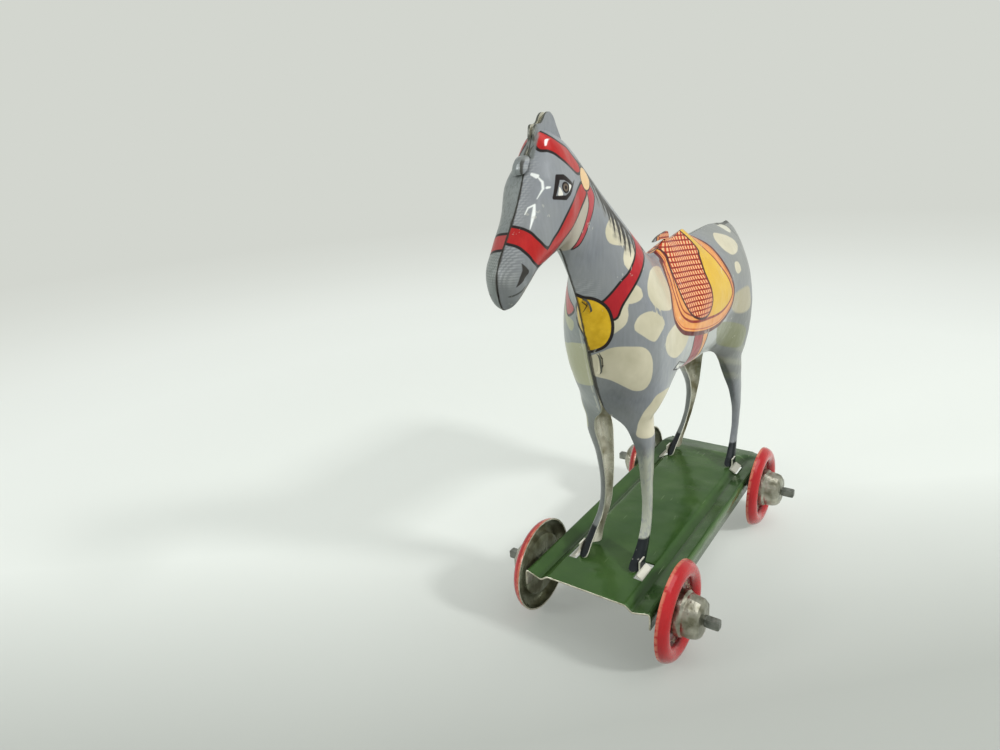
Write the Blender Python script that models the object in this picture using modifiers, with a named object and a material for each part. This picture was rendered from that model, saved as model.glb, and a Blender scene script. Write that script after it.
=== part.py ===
"""Tin horse penny toy: two pressed halves on a pressed platform with four wheels on wire axles.

Frame: +Z up, the horse faces -Y and its left side is +X. The origin lies on the floor, under the
middle of the toy's outline. Driving sizes are in millimetres and become metres where meshes are made.
"""

import math

import bmesh
import bpy
from mathutils import Matrix, Vector

MM = 0.001

# Sheet metal and fits
SHEET = 0.4
SEAM_GAP = 0.3
SEAM_TRIM = 0.25
SEAT_GAP = 0.3
RUNNING_CLEARANCE = 0.3

# Wheels and axles
WHEEL_RADIUS = 9.0
WHEELBASE = 49.6
SIDE_PLAY = 1.05
RIM_BAND = 3.2
RIM_CROWN = 1.9
RIM_STEPS = 4
DISC_DISH = 0.5
WHEEL_STEPS = 24
AXLE_RADIUS = 0.9
AXLE_END = 2.6
AXLE_SIDES = 12
PINCH_LENGTH = 2.0
PINCH_HEIGHT = 1.4
PINCH_THICKNESS = 0.55
HUB_RADIUS = 4.3
HUB_LENGTH = 4.5
HUB_SHOULDER = 0.8
HUB_STEPS = 16

# Platform
PLATFORM_WIDTH = 24.5
PLATFORM_TOP = 13.2
PLATFORM_FRONT = -32.7
PLATFORM_REAR = 34.7
PANEL_LINES = (-0.24, 0.3)
PANEL_CROWN = 0.1
PANEL_HALF = 7.7
GROOVE_X = 8.9
GROOVE_DEPTH = 0.95
RIM_CORNER = 0.7
FLANGE_DEPTH = 3.3
REAR_BEND = 5.2
REAR_DROP = 0.8
REAR_CORNER = 3.0
RIM_FALL = 0.1
EAR_RADIUS = 2.5
EAR_FILLET = 0.3

# Where the wheels' cut edges stand, and how far the axles reach
WHEEL_PLANE_X = PLATFORM_WIDTH / 2 + SIDE_PLAY
AXLE_REACH = WHEEL_PLANE_X + DISC_DISH + SEAT_GAP + HUB_LENGTH + AXLE_END

# Hooves, their tabs and the slots they pass
TAB_LENGTH = 3.4
TAB_FOLD = 1.5
TAB_INSET = 0.05
TAB_LAP = 1.0
SLOT_LENGTH = TAB_LENGTH + 2 * RUNNING_CLEARANCE
SLOT_SIGHT = 1.0

# Horse: where the nose and the rump end, for the origin under the middle
NOSE_Y = -51.5
RUMP_Y = 39.9
MIDDLE_Y = (NOSE_Y + RUMP_Y) / 2

SECTION_ROWS = 6
# How sharply a section closes at its top seam and at its lower one, by the section's top y
CREST = ((-51.5, 0.8), (-44.0, 0.72), (-41.0, 1.1), (-36.0, 1.25), (40.0, 1.25))
BREAST = ((-51.5, 1.0), (-40.0, 1.2), (-34.0, 2.2), (-24.0, 2.0), (-17.0, 1.3), (-9.0, 1.0), (40.0, 1.0))
# How far the saddle lifts the seam above the back, as (y, rise), and the share left one row down
SADDLE_RISE = ((-2.6, 0.0), (0.4, 2.0), (3.4, 0.9), (6.6, 1.3), (9.8, 2.5), (12.6, 0.0))
RISE_BELOW = 0.4
TRIM_HEIGHT = 100.0

HOOF_SOLE = PLATFORM_TOP + SEAT_GAP

# Each section of a half runs from the top seam to the lower one, or to the top of a leg:
# (top y, top z, lower y, lower z, half width, share of the way down where it is widest, lower x)
HEAD_AND_NECK = (
    (-51.5, 69.8, -51.3, 68.6, 0.6, 0.5, 0.0),
    (-51.5, 71.6, -50.5, 66.6, 2.0, 0.5, 0.0),
    (-50.5, 73.6, -48.8, 67.6, 2.9, 0.5, 0.0),
    (-48.4, 76.2, -46.6, 70.0, 3.4, 0.5, 0.0),
    (-46.1, 79.2, -43.4, 71.2, 3.8, 0.5, 0.0),
    (-44.8, 81.8, -40.4, 71.9, 4.1, 0.5, 0.0),
    (-42.4, 86.2, -36.8, 72.8, 4.1, 0.5, 0.0),
    (-41.4, 88.8, -36.0, 72.4, 3.9, 0.5, 0.0),
    (-38.0, 88.4, -35.2, 71.2, 3.6, 0.48, 0.0),
    (-34.4, 86.4, -34.4, 69.4, 3.3, 0.46, 0.0),
    (-26.4, 79.4, -32.2, 65.0, 3.1, 0.46, 0.0),
    (-21.8, 76.0, -31.2, 62.4, 4.0, 0.5, 0.0),
    (-17.2, 72.6, -29.9, 58.4, 6.2, 0.56, 0.0),
    (-12.8, 69.6, -28.4, 53.8, 8.0, 0.6, 0.0),
    (-9.0, 67.6, -26.8, 48.2, 8.9, 0.62, 0.0),
    (-5.6, 66.6, -23.8, 42.8, 8.9, 0.62, 0.0),
)
SHOULDER = (
    (-2.6, 66.6, -22.6, 41.4, 8.8, 0.6, 3.0),
    (0.4, 66.8, -21.2, 40.6, 8.8, 0.58, 5.0),
    (3.4, 66.9, -19.2, 41.0, 8.7, 0.54, 5.9),
    (6.6, 66.9, -17.4, 43.0, 8.7, 0.52, 5.8),
    (9.8, 67.0, -15.6, 45.9, 8.9, 0.5, 5.2),
)
BELLY = (
    (12.6, 67.2, -11.4, 46.2, 9.1, 0.5, 4.6),
    (15.6, 67.4, -4.0, 45.0, 9.1, 0.5, 4.0),
    (21.2, 67.8, 10.0, 43.8, 8.9, 0.5, 4.0),
    (23.6, 67.9, 14.4, 43.4, 8.7, 0.5, 4.2),
)
THIGH = (
    (25.8, 67.8, 17.8, 42.2, 8.6, 0.5, 5.0),
    (27.8, 67.6, 20.8, 39.8, 8.7, 0.52, 6.2),
    (29.8, 67.5, 26.4, 37.8, 8.6, 0.54, 7.1),
    (31.8, 67.2, 32.6, 38.6, 8.1, 0.56, 6.2),
    (33.8, 67.0, 35.2, 41.0, 7.1, 0.58, 3.0),
)
RUMP = (
    (35.6, 67.2, 37.4, 44.6, 5.7, 0.6, 0.0),
    (37.2, 67.2, 39.2, 49.6, 4.0, 0.62, 0.0),
    (38.7, 64.8, 39.7, 54.2, 2.2, 0.58, 0.0),
    (39.6, 62.0, 39.9, 58.0, 0.7, 0.5, 0.0),
)

# Each ring of a leg: (height, x of its middle, y of its middle, length along Y, depth along X)
FRONT_LEG = (
    (37.6, 5.0, -17.8, 6.2, 2.6),
    (34.0, 4.7, -16.7, 4.6, 2.0),
    (30.0, 4.5, -16.0, 3.8, 1.7),
    (26.0, 4.4, -15.7, 3.0, 1.4),
    (22.0, 4.5, -15.8, 2.8, 1.3),
    (19.2, 4.7, -16.7, 2.9, 1.3),
    (16.8, 5.1, -18.8, 3.4, 1.5),
    (15.0, 5.2, -20.6, 4.4, 1.8),
    (HOOF_SOLE, 5.2, -21.9, 5.6, 2.1),
)
HIND_LEG = (
    (35.0, 5.6, 28.8, 8.6, 2.8),
    (31.4, 5.5, 31.0, 6.2, 2.0),
    (28.0, 5.6, 31.9, 4.6, 1.7),
    (25.0, 5.8, 31.9, 3.4, 1.4),
    (22.0, 6.0, 31.1, 2.9, 1.2),
    (19.0, 6.3, 29.4, 2.8, 1.2),
    (16.6, 6.7, 27.0, 3.2, 1.4),
    (15.0, 7.0, 25.4, 4.0, 1.6),
    (HOOF_SOLE, 7.1, 24.4, 5.0, 1.9),
)
# The right front leg was pressed wider and deeper than the left one
LEG_SPREAD = {"left": 1.0, "right": 1.35}

# Flat lobes that stand up along the seam, as (y, z) round their edge, with their lean outward
EAR_FOOT = 85.0
EAR_LEAN = 0.03
EAR_INSET = 0.2
EAR = (
    (-42.0, 86.4), (-42.1, 88.4), (-41.4, 89.2), (-40.0, 89.3), (-39.3, 90.1), (-38.4, 90.4), (-37.4, 89.8),
    (-36.6, 88.6), (-35.4, 86.6), (-36.2, 85.0), (-40.0, 85.0),
)
POMMEL = ((-4.9, 68.6), (-3.2, 69.3), (-1.0, 69.6), (1.8, 69.6), (2.2, 67.4), (0.4, 68.4), (-2.6, 68.6))


def clear_scene():
    for thing in list(bpy.data.objects):
        bpy.data.objects.remove(thing, do_unlink=True)


def new_collection(name):
    collection = bpy.data.collections.new(name)
    bpy.context.scene.collection.children.link(collection)
    return collection


clear_scene()
TOY = new_collection("tin_horse_toy")
CUTTERS = new_collection("cutters")
ORIGIN = bpy.data.objects.new("toy_origin", None)
ORIGIN.location = (0, -MIDDLE_Y * MM, 0)
TOY.objects.link(ORIGIN)


def material(name, colour, roughness, metallic):
    made = bpy.data.materials.new(name)
    made.use_nodes = True
    shader = made.node_tree.nodes["Principled BSDF"]
    shader.inputs["Base Color"].default_value = (*colour, 1)
    shader.inputs["Roughness"].default_value = roughness
    shader.inputs["Metallic"].default_value = metallic
    return made


GREY_LITHO = material("grey_printed_tin", (0.30, 0.32, 0.36), 0.3, 0.2)
GREEN_PAINT = material("green_painted_tin", (0.08, 0.18, 0.04), 0.25, 0.1)
RED_PAINT = material("red_painted_tin", (0.65, 0.02, 0.02), 0.3, 0.1)
WHITE_METAL = material("cast_white_metal", (0.62, 0.61, 0.58), 0.4, 0.9)
STEEL_WIRE = material("steel_wire", (0.36, 0.37, 0.38), 0.4, 0.9)


def put(mesh, name, finish, collection=None):
    """An object for the mesh, standing on the toy's origin empty."""
    thing = bpy.data.objects.new(name, mesh)
    (collection or TOY).objects.link(thing)
    thing.parent = ORIGIN
    if finish:
        mesh.materials.append(finish)
    return thing


def mesh_of(name, points, faces, smooth=True):
    """A mesh from points in millimetres, its doubles merged and its normals made to agree."""
    mesh = bpy.data.meshes.new(name)
    build = bmesh.new()
    corners = [build.verts.new(Vector(p) * MM) for p in points]
    for face in faces:
        build.faces.new([corners[i] for i in face])
    bmesh.ops.remove_doubles(build, verts=build.verts, dist=0.01 * MM)
    bmesh.ops.recalc_face_normals(build, faces=build.faces)
    build.to_mesh(mesh)
    build.free()
    if smooth:
        mesh.shade_smooth()
    return mesh


def grid_faces(rows, columns, first=0):
    """Quads over a grid of points kept row by row."""
    quads = []
    for i in range(rows - 1):
        for j in range(columns - 1):
            a = first + i * columns + j
            quads.append((a, a + 1, a + columns + 1, a + columns))
    return quads


def solidify(thing, thickness, offset):
    shell = thing.modifiers.new("sheet", "SOLIDIFY")
    shell.thickness = thickness * MM
    shell.offset = offset
    return shell


def cut(thing, cutter, operation="DIFFERENCE"):
    boolean = thing.modifiers.new(cutter.name, "BOOLEAN")
    boolean.operation = operation
    boolean.object = cutter
    cutter.hide_render = True
    cutter.display_type = "WIRE"


def box_mesh(name, low, high):
    """A box between two corners in millimetres."""
    mesh = bpy.data.meshes.new(name)
    build = bmesh.new()
    size = Vector(high) - Vector(low)
    middle = (Vector(high) + Vector(low)) / 2
    place = Matrix.Translation(middle * MM) @ Matrix.Diagonal((*(size * MM), 1))
    bmesh.ops.create_cube(build, size=1, matrix=place)
    build.to_mesh(mesh)
    build.free()
    return mesh


def cross_pin_mesh(name, x_from, x_to, y, z, radius, segments=24):
    """A cylinder along X."""
    mesh = bpy.data.meshes.new(name)
    build = bmesh.new()
    place = Matrix.Translation(Vector(((x_from + x_to) / 2, y, z)) * MM) @ Matrix.Rotation(math.pi / 2, 4, "Y")
    bmesh.ops.create_cone(
        build, cap_ends=True, segments=segments, radius1=radius * MM, radius2=radius * MM,
        depth=(x_to - x_from) * MM, matrix=place,
    )
    build.to_mesh(mesh)
    build.free()
    return mesh


def between(table, y):
    """The table's value at one place along the seam, between the two nearest named ones."""
    for (y_a, value_a), (y_b, value_b) in zip(table, table[1:]):
        if y_a <= y <= y_b:
            return value_a + (value_b - value_a) * (y - y_a) / (y_b - y_a)
    return table[0][1]


def section_points(top_y, top_z, low_y, low_z, half_width, widest, low_x, side):
    """One section of a half: a quarter ellipse out to the widest place, then one in to the lower end."""
    edge_x = SEAM_GAP / 2 - SEAM_TRIM
    end_x = low_x or edge_x
    crest, breast, lift = between(CREST, top_y), between(BREAST, top_y), between(SADDLE_RISE, top_y)
    rises = (lift, lift * RISE_BELOW)
    points = []
    for row in range(SECTION_ROWS + 1):
        turn = math.pi * row / SECTION_ROWS
        if turn <= math.pi / 2:
            x = edge_x + (half_width - edge_x) * math.sin(turn) ** crest
            down = widest * (1 - math.cos(turn))
        else:
            x = end_x + (half_width - end_x) * math.sin(turn) ** breast
            down = widest - (1 - widest) * math.cos(turn)
        y = top_y + (low_y - top_y) * down
        z = top_z + (low_z - top_z) * down
        if row < len(rises):
            z += rises[row]
        points.append((side * x, y, z))
    return points


def leg_ring(height, middle_x, middle_y, length, depth, side, spread):
    """One ring of a leg: an open channel whose hollow faces the other legs."""
    length = length * (1 + (spread - 1) / 2)
    inner = middle_x - depth * spread / 2
    outer = middle_x + depth / 2
    shoulder = inner + (outer - inner) * 0.8
    return [
        (side * inner, middle_y - length / 2, height),
        (side * shoulder, middle_y - length * 0.42, height),
        (side * outer, middle_y, height),
        (side * shoulder, middle_y + length * 0.42, height),
        (side * inner, middle_y + length / 2, height),
    ]


def horse_sheet(name, side):
    """The outer face of one half as an open surface: the body's sections, and the legs lofted on from them."""
    stations = HEAD_AND_NECK + SHOULDER + BELLY + THIGH + RUMP
    columns = SECTION_ROWS + 1
    points = []
    for station in stations:
        points.extend(section_points(*station, side))
    faces = grid_faces(len(stations), columns)
    starts = (
        (len(HEAD_AND_NECK), FRONT_LEG, LEG_SPREAD["left" if side > 0 else "right"]),
        (len(HEAD_AND_NECK) + len(SHOULDER) + len(BELLY), HIND_LEG, 1.0),
    )
    for first_station, leg, spread in starts:
        above = [(first_station + i) * columns + SECTION_ROWS for i in range(len(SHOULDER))]
        for ring in leg:
            first = len(points)
            points.extend(leg_ring(*ring, side, spread))
            below = list(range(first, first + len(above)))
            for i in range(len(above) - 1):
                faces.append((above[i], above[i + 1], below[i + 1], below[i]))
            above = below
    return mesh_of(name, points, faces)


def outer_face_outward(mesh, side):
    """Turns the open sheet so that its normals point away from the horse's middle plane."""
    build = bmesh.new()
    build.from_mesh(mesh)
    widest = max(build.faces, key=lambda face: side * face.calc_center_median().x)
    if widest.normal.x * side < 0:
        bmesh.ops.reverse_faces(build, faces=build.faces)
    build.to_mesh(mesh)
    build.free()


def lobe_mesh(name, outline, side, inset, lean, foot):
    """A flat sheet lobe beside the seam, leaning outward above its foot."""
    inner = [(side * (inset + lean * (z - foot)), y, z) for y, z in outline]
    outer = [(x + side * SHEET, y, z) for x, y, z in inner]
    count = len(outline)
    faces = [tuple(range(count)), tuple(range(count, 2 * count))]
    for i in range(count):
        after = (i + 1) % count
        faces.append((i, after, after + count, i + count))
    return mesh_of(name, inner + outer, faces, smooth=False)


def horse_half(name, side):
    mesh = horse_sheet(name, side)
    outer_face_outward(mesh, side)
    half = put(mesh, name, GREY_LITHO)
    smooth = half.modifiers.new("pressed_form", "SUBSURF")
    smooth.levels = 1
    smooth.render_levels = 1
    solidify(half, SHEET, -1)
    inner, far = sorted((side * SEAM_GAP / 2, -side * PLATFORM_WIDTH))
    trim = box_mesh(f"{name}_seam_trim", (inner, 2 * NOSE_Y, 0), (far, 2 * RUMP_Y, TRIM_HEIGHT))
    cut(half, put(trim, trim.name, None, CUTTERS))
    ear = lobe_mesh(f"{name}_ear", EAR, side, EAR_INSET, EAR_LEAN, EAR_FOOT)
    cut(half, put(ear, ear.name, None, CUTTERS), "UNION")
    if side > 0:
        pommel = lobe_mesh(f"{name}_pommel", POMMEL, side, SEAM_GAP / 2, 0, 0)
        cut(half, put(pommel, pommel.name, None, CUTTERS), "UNION")
    return half


horse_left = horse_half("horse_left_half", 1)
horse_right = horse_half("horse_right_half", -1)


def flange_bottom(y):
    """The height of a side flange's lower edge: level, with a round ear hanging below each axle."""
    level = PLATFORM_TOP - FLANGE_DEPTH
    for axle_y in (-WHEELBASE / 2, WHEELBASE / 2):
        away = abs(y - axle_y)
        if away <= EAR_RADIUS + 0.001:
            level = WHEEL_RADIUS - math.sqrt(max(EAR_RADIUS**2 - away**2, 0.0))
    return level


def platform_profile(outer_half, drop, bottom):
    """Half of the platform's section, from the middle to the flange's lower edge, as (x, z)."""
    squeeze = outer_half / (PLATFORM_WIDTH / 2)
    top = PLATFORM_TOP - drop
    rim_x = outer_half - RIM_CORNER
    points = [
        (0.0, top),
        (PANEL_HALF * squeeze, top),
        (GROOVE_X * squeeze, top - GROOVE_DEPTH),
        (rim_x, top - RIM_FALL),
    ]
    for step in (1, 2, 3):
        turn = math.pi / 2 * step / 3
        points.append((rim_x + RIM_CORNER * math.sin(turn), top - RIM_FALL - RIM_CORNER * (1 - math.cos(turn))))
    points.append((outer_half, bottom))
    return points


def platform_stations():
    """(y, half width, drop) along the platform, with the ears, the bent rear end and its rounded corners.

    Between the legs the sheet is crowned a little, and the load lies on that flat stretch.
    """
    half = PLATFORM_WIDTH / 2
    bend_y = PLATFORM_REAR - REAR_BEND
    stations = [(PLATFORM_FRONT, half, 0.0)]
    for axle_y in (-WHEELBASE / 2, WHEELBASE / 2):
        stations.append((axle_y - EAR_RADIUS - EAR_FILLET, half, 0.0))
        for step in range(-3, 4):
            stations.append((axle_y + EAR_RADIUS * math.sin(math.pi / 6 * step), half, 0.0))
        stations.append((axle_y + EAR_RADIUS + EAR_FILLET, half, 0.0))
    stations.extend((WHEELBASE * share, half, -PANEL_CROWN) for share in PANEL_LINES)
    stations.append((bend_y, half, 0.0))
    stations.sort()
    for step in range(0, 6):
        turn = math.pi / 2 * step / 6
        y = PLATFORM_REAR - REAR_CORNER * (1 - math.sin(turn))
        narrow = REAR_CORNER * (1 - math.cos(turn))
        stations.append((y, half - narrow, REAR_DROP * (y - bend_y) / REAR_BEND))
    return stations


def hoof_outer_x(half, leg):
    """How far out a leg's hoof wall reaches at its sole, measured on the finished sheet."""
    height, _, middle_y, length, _ = leg[-1]
    shape = half.evaluated_get(bpy.context.evaluated_depsgraph_get()).to_mesh()
    near = [
        abs(v.co.x) / MM for v in shape.vertices
        if v.co.z < (height + 0.6) * MM and abs(v.co.y / MM - middle_y) < length / 2
    ]
    half.to_mesh_clear()
    return max(near)


def hoof_tab(half, side, leg, label):
    """The tongue below a hoof: it drops through its slot and is folded inward under the platform."""
    outer = hoof_outer_x(half, leg) - TAB_INSET
    middle_y = leg[-1][2]
    under = PLATFORM_TOP - SHEET - SEAT_GAP
    near, far = sorted((side * (outer - SHEET), side * outer))
    stem = box_mesh(
        f"{label}_stem", (near, middle_y - TAB_LENGTH / 2, under - SHEET),
        (far, middle_y + TAB_LENGTH / 2, HOOF_SOLE + TAB_LAP),
    )
    near, far = sorted((side * (outer - TAB_FOLD), side * (outer - SHEET / 2)))
    fold = box_mesh(
        f"{label}_fold", (near, middle_y - TAB_LENGTH / 2, under - SHEET),
        (far, middle_y + TAB_LENGTH / 2, under),
    )
    for mesh in (stem, fold):
        cut(half, put(mesh, mesh.name, None, CUTTERS), "UNION")
    return outer


def slot_for(outer, side, leg, label):
    """The slot a hoof tab passes, with the open strip beside the tab."""
    middle_y = leg[-1][2]
    near, far = sorted((side * (outer - SHEET - RUNNING_CLEARANCE), side * (outer + SLOT_SIGHT)))
    mesh = box_mesh(
        f"{label}_slot", (near, middle_y - SLOT_LENGTH / 2, PLATFORM_TOP - GROOVE_DEPTH - 2 * SHEET),
        (far, middle_y + SLOT_LENGTH / 2, PLATFORM_TOP + SHEET),
    )
    return put(mesh, mesh.name, None, CUTTERS)


def pressed_platform(slots):
    points = []
    rows = platform_stations()
    for y, half, drop in rows:
        right = platform_profile(half, drop, flange_bottom(y))
        left = [(-x, z) for x, z in reversed(right[1:])]
        points.extend((x, y, z) for x, z in left + right)
    columns = len(points) // len(rows)
    mesh = mesh_of("platform", points, grid_faces(len(rows), columns), smooth=False)
    if mesh.polygons[columns // 2].normal.z < 0:
        mesh.flip_normals()
    thing = put(mesh, "platform", GREEN_PAINT)
    solidify(thing, SHEET, -1)
    for slot in slots:
        cut(thing, slot)
    for end, axle_y in (("front", -WHEELBASE / 2), ("rear", WHEELBASE / 2)):
        reach = PLATFORM_WIDTH / 2 + 1
        hole = cross_pin_mesh(f"{end}_axle_holes", -reach, reach, axle_y, WHEEL_RADIUS, AXLE_RADIUS + RUNNING_CLEARANCE)
        cut(thing, put(hole, hole.name, None, CUTTERS))
    return thing


slot_cutters = []
for half, side, word in ((horse_left, 1, "left"), (horse_right, -1, "right")):
    for leg, end in ((FRONT_LEG, "front"), (HIND_LEG, "hind")):
        outer = hoof_tab(half, side, leg, f"{word}_{end}_hoof")
        slot_cutters.append(slot_for(outer, side, leg, f"{word}_{end}_hoof"))
pressed_platform(slot_cutters)


def wheel_profile():
    """The pressed disc's outer face as (radius, x outward from the cut edge), from the bore to the cut edge."""
    bore = AXLE_RADIUS + RUNNING_CLEARANCE
    band_start = WHEEL_RADIUS - RIM_BAND
    points = [(bore, DISC_DISH), (band_start, DISC_DISH)]
    for step in range(1, RIM_STEPS + 1):
        turn = math.pi * step / RIM_STEPS
        radius = band_start + RIM_BAND / 2 * (1 - math.cos(turn))
        points.append((radius, DISC_DISH * (1 - step / RIM_STEPS) + (RIM_CROWN - DISC_DISH / 2) * math.sin(turn)))
    return points


def turned(name, profile, steps, side, finish, closed):
    """A profile of (radius, x outward from the cut edge) spun about the axle line."""
    mesh = bpy.data.meshes.new(name)
    corners = [((side * x) * MM, 0, radius * MM) for radius, x in profile]
    edges = [(i, i + 1) for i in range(len(corners) - 1)]
    if closed:
        edges.append((len(corners) - 1, 0))
    mesh.from_pydata(corners, edges, [])
    thing = bpy.data.objects.new(name, mesh)
    TOY.objects.link(thing)
    mesh.materials.append(finish)
    spin = thing.modifiers.new("turned", "SCREW")
    spin.axis = "X"
    spin.steps = steps
    spin.render_steps = steps
    spin.merge_threshold = 0.00001
    spin.use_merge_vertices = True
    spin.use_smooth_shade = True
    spin.use_normal_flip = (side > 0) == closed
    thing.location.x = side * WHEEL_PLANE_X * MM
    return thing


def wheel(name, side, carrier):
    thing = turned(name, wheel_profile(), WHEEL_STEPS, side, RED_PAINT, closed=False)
    solidify(thing, SHEET, -1)
    thing.parent = carrier
    return thing


def hub(name, side, carrier):
    """The cast hub: a drum with a low shoulder, bored for the axle, seated on the disc's outer face."""
    bore = AXLE_RADIUS + RUNNING_CLEARANCE
    seat = DISC_DISH + SEAT_GAP
    profile = [
        (bore, seat), (HUB_RADIUS, seat), (HUB_RADIUS, seat + HUB_LENGTH - HUB_SHOULDER),
        (HUB_RADIUS - HUB_SHOULDER, seat + HUB_LENGTH), (bore, seat + HUB_LENGTH),
    ]
    thing = turned(name, profile, HUB_STEPS, side, WHITE_METAL, closed=True)
    thing.parent = carrier
    return thing


def axle(name, carrier):
    """A length of wire whose two ends are pinched flat, so that the wheels can't come off."""
    neck = AXLE_REACH - PINCH_LENGTH
    round_end = (AXLE_RADIUS, AXLE_RADIUS)
    flat_end = (PINCH_HEIGHT, PINCH_THICKNESS)
    half = [(neck - AXLE_RADIUS, round_end), (neck, flat_end), (AXLE_REACH - 0.3, flat_end),
            (AXLE_REACH, (PINCH_HEIGHT * 0.7, PINCH_THICKNESS * 0.6))]
    rings = [(-x, size) for x, size in reversed(half)] + half
    points = []
    for x, (high, wide) in rings:
        for i in range(AXLE_SIDES):
            turn = 2 * math.pi * i / AXLE_SIDES
            points.append((x, wide * math.cos(turn), high * math.sin(turn)))
    faces = [tuple(range(AXLE_SIDES)), tuple(range(len(points) - AXLE_SIDES, len(points)))]
    for ring in range(len(rings) - 1):
        for i in range(AXLE_SIDES):
            a, b = ring * AXLE_SIDES + i, ring * AXLE_SIDES + (i + 1) % AXLE_SIDES
            faces.append((a, b, b + AXLE_SIDES, a + AXLE_SIDES))
    mesh = mesh_of(name, points, faces)
    thing = bpy.data.objects.new(name, mesh)
    TOY.objects.link(thing)
    mesh.materials.append(STEEL_WIRE)
    thing.parent = carrier
    return thing


for end, axle_y in (("front", -WHEELBASE / 2), ("rear", WHEELBASE / 2)):
    axle_line = bpy.data.objects.new(f"{end}_axle_line", None)
    axle_line.location = (0, axle_y * MM, WHEEL_RADIUS * MM)
    axle_line.parent = ORIGIN
    TOY.objects.link(axle_line)
    axle(f"{end}_axle", axle_line)
    for word, side in (("left", 1), ("right", -1)):
        wheel(f"{end}_{word}_wheel", side, axle_line)
        hub(f"{end}_{word}_hub", side, axle_line)
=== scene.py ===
"""Tin horse penny toy: the printed and lacquered sheets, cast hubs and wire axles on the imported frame.

Sizes are in millimetres and become metres where meshes are made. +Z is up, the horse faces -Y.
"""
import math

import bmesh
import bpy
import numpy as np
from mathutils import Matrix, Vector, noise
from mathutils.bvhtree import BVHTree


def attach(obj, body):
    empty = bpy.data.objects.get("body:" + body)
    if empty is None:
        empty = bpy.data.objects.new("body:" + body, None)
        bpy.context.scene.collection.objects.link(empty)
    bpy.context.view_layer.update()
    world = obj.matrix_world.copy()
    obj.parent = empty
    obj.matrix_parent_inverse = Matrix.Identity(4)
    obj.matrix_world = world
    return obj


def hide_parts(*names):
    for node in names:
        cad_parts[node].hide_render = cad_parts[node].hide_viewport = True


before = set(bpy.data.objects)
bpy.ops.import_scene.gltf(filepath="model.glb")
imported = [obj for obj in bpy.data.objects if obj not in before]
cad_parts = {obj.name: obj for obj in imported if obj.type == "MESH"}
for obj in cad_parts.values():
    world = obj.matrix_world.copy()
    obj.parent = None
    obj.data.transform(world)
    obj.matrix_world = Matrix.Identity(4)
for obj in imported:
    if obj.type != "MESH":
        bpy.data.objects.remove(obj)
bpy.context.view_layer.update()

# The platform is one pressed sheet of tin, lacquered green above and left bare below. Two V grooves
# stiffen it, its long sides are rolled down into flanges with round ears for the axles, and its rear end
# is bent down.
MM = 0.001
PLATFORM_SHIFT = 5.8
SHEET = 0.32
PLATFORM_TOP = 13.2
PLATFORM_HALF = 12.25
PLATFORM_FRONT = -32.7
PLATFORM_REAR = 34.7
PANEL_HALF = 7.7
GROOVE_X = 8.9
GROOVE_DEPTH = 0.95
RIM_CORNER = 0.7
FLANGE_DEPTH = 3.3
REAR_BEND = 5.2
REAR_DROP = 0.8
REAR_CORNER = 3.0
BEND_Y = PLATFORM_REAR - REAR_BEND
BEND_RADIUS = 0.45
WHEEL_RADIUS = 9.0
HALF_WHEELBASE = 24.8
EAR_RADIUS = 2.5
AXLE_RADIUS = 0.85
# A small dent in the panel's front, pushed up from below: its x, y and height
DENT_X = -0.6
DENT_Y = -27.6
DENT_HEIGHT = 0.22


def paint(red, green, blue):
    """A colour as it is seen, 0 to 255, made linear for a shader."""
    seen = [channel / 255 for channel in (red, green, blue)]
    return tuple(c / 12.92 if c <= 0.04045 else ((c + 0.055) / 1.055) ** 2.4 for c in seen) + (1.0,)


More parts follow.
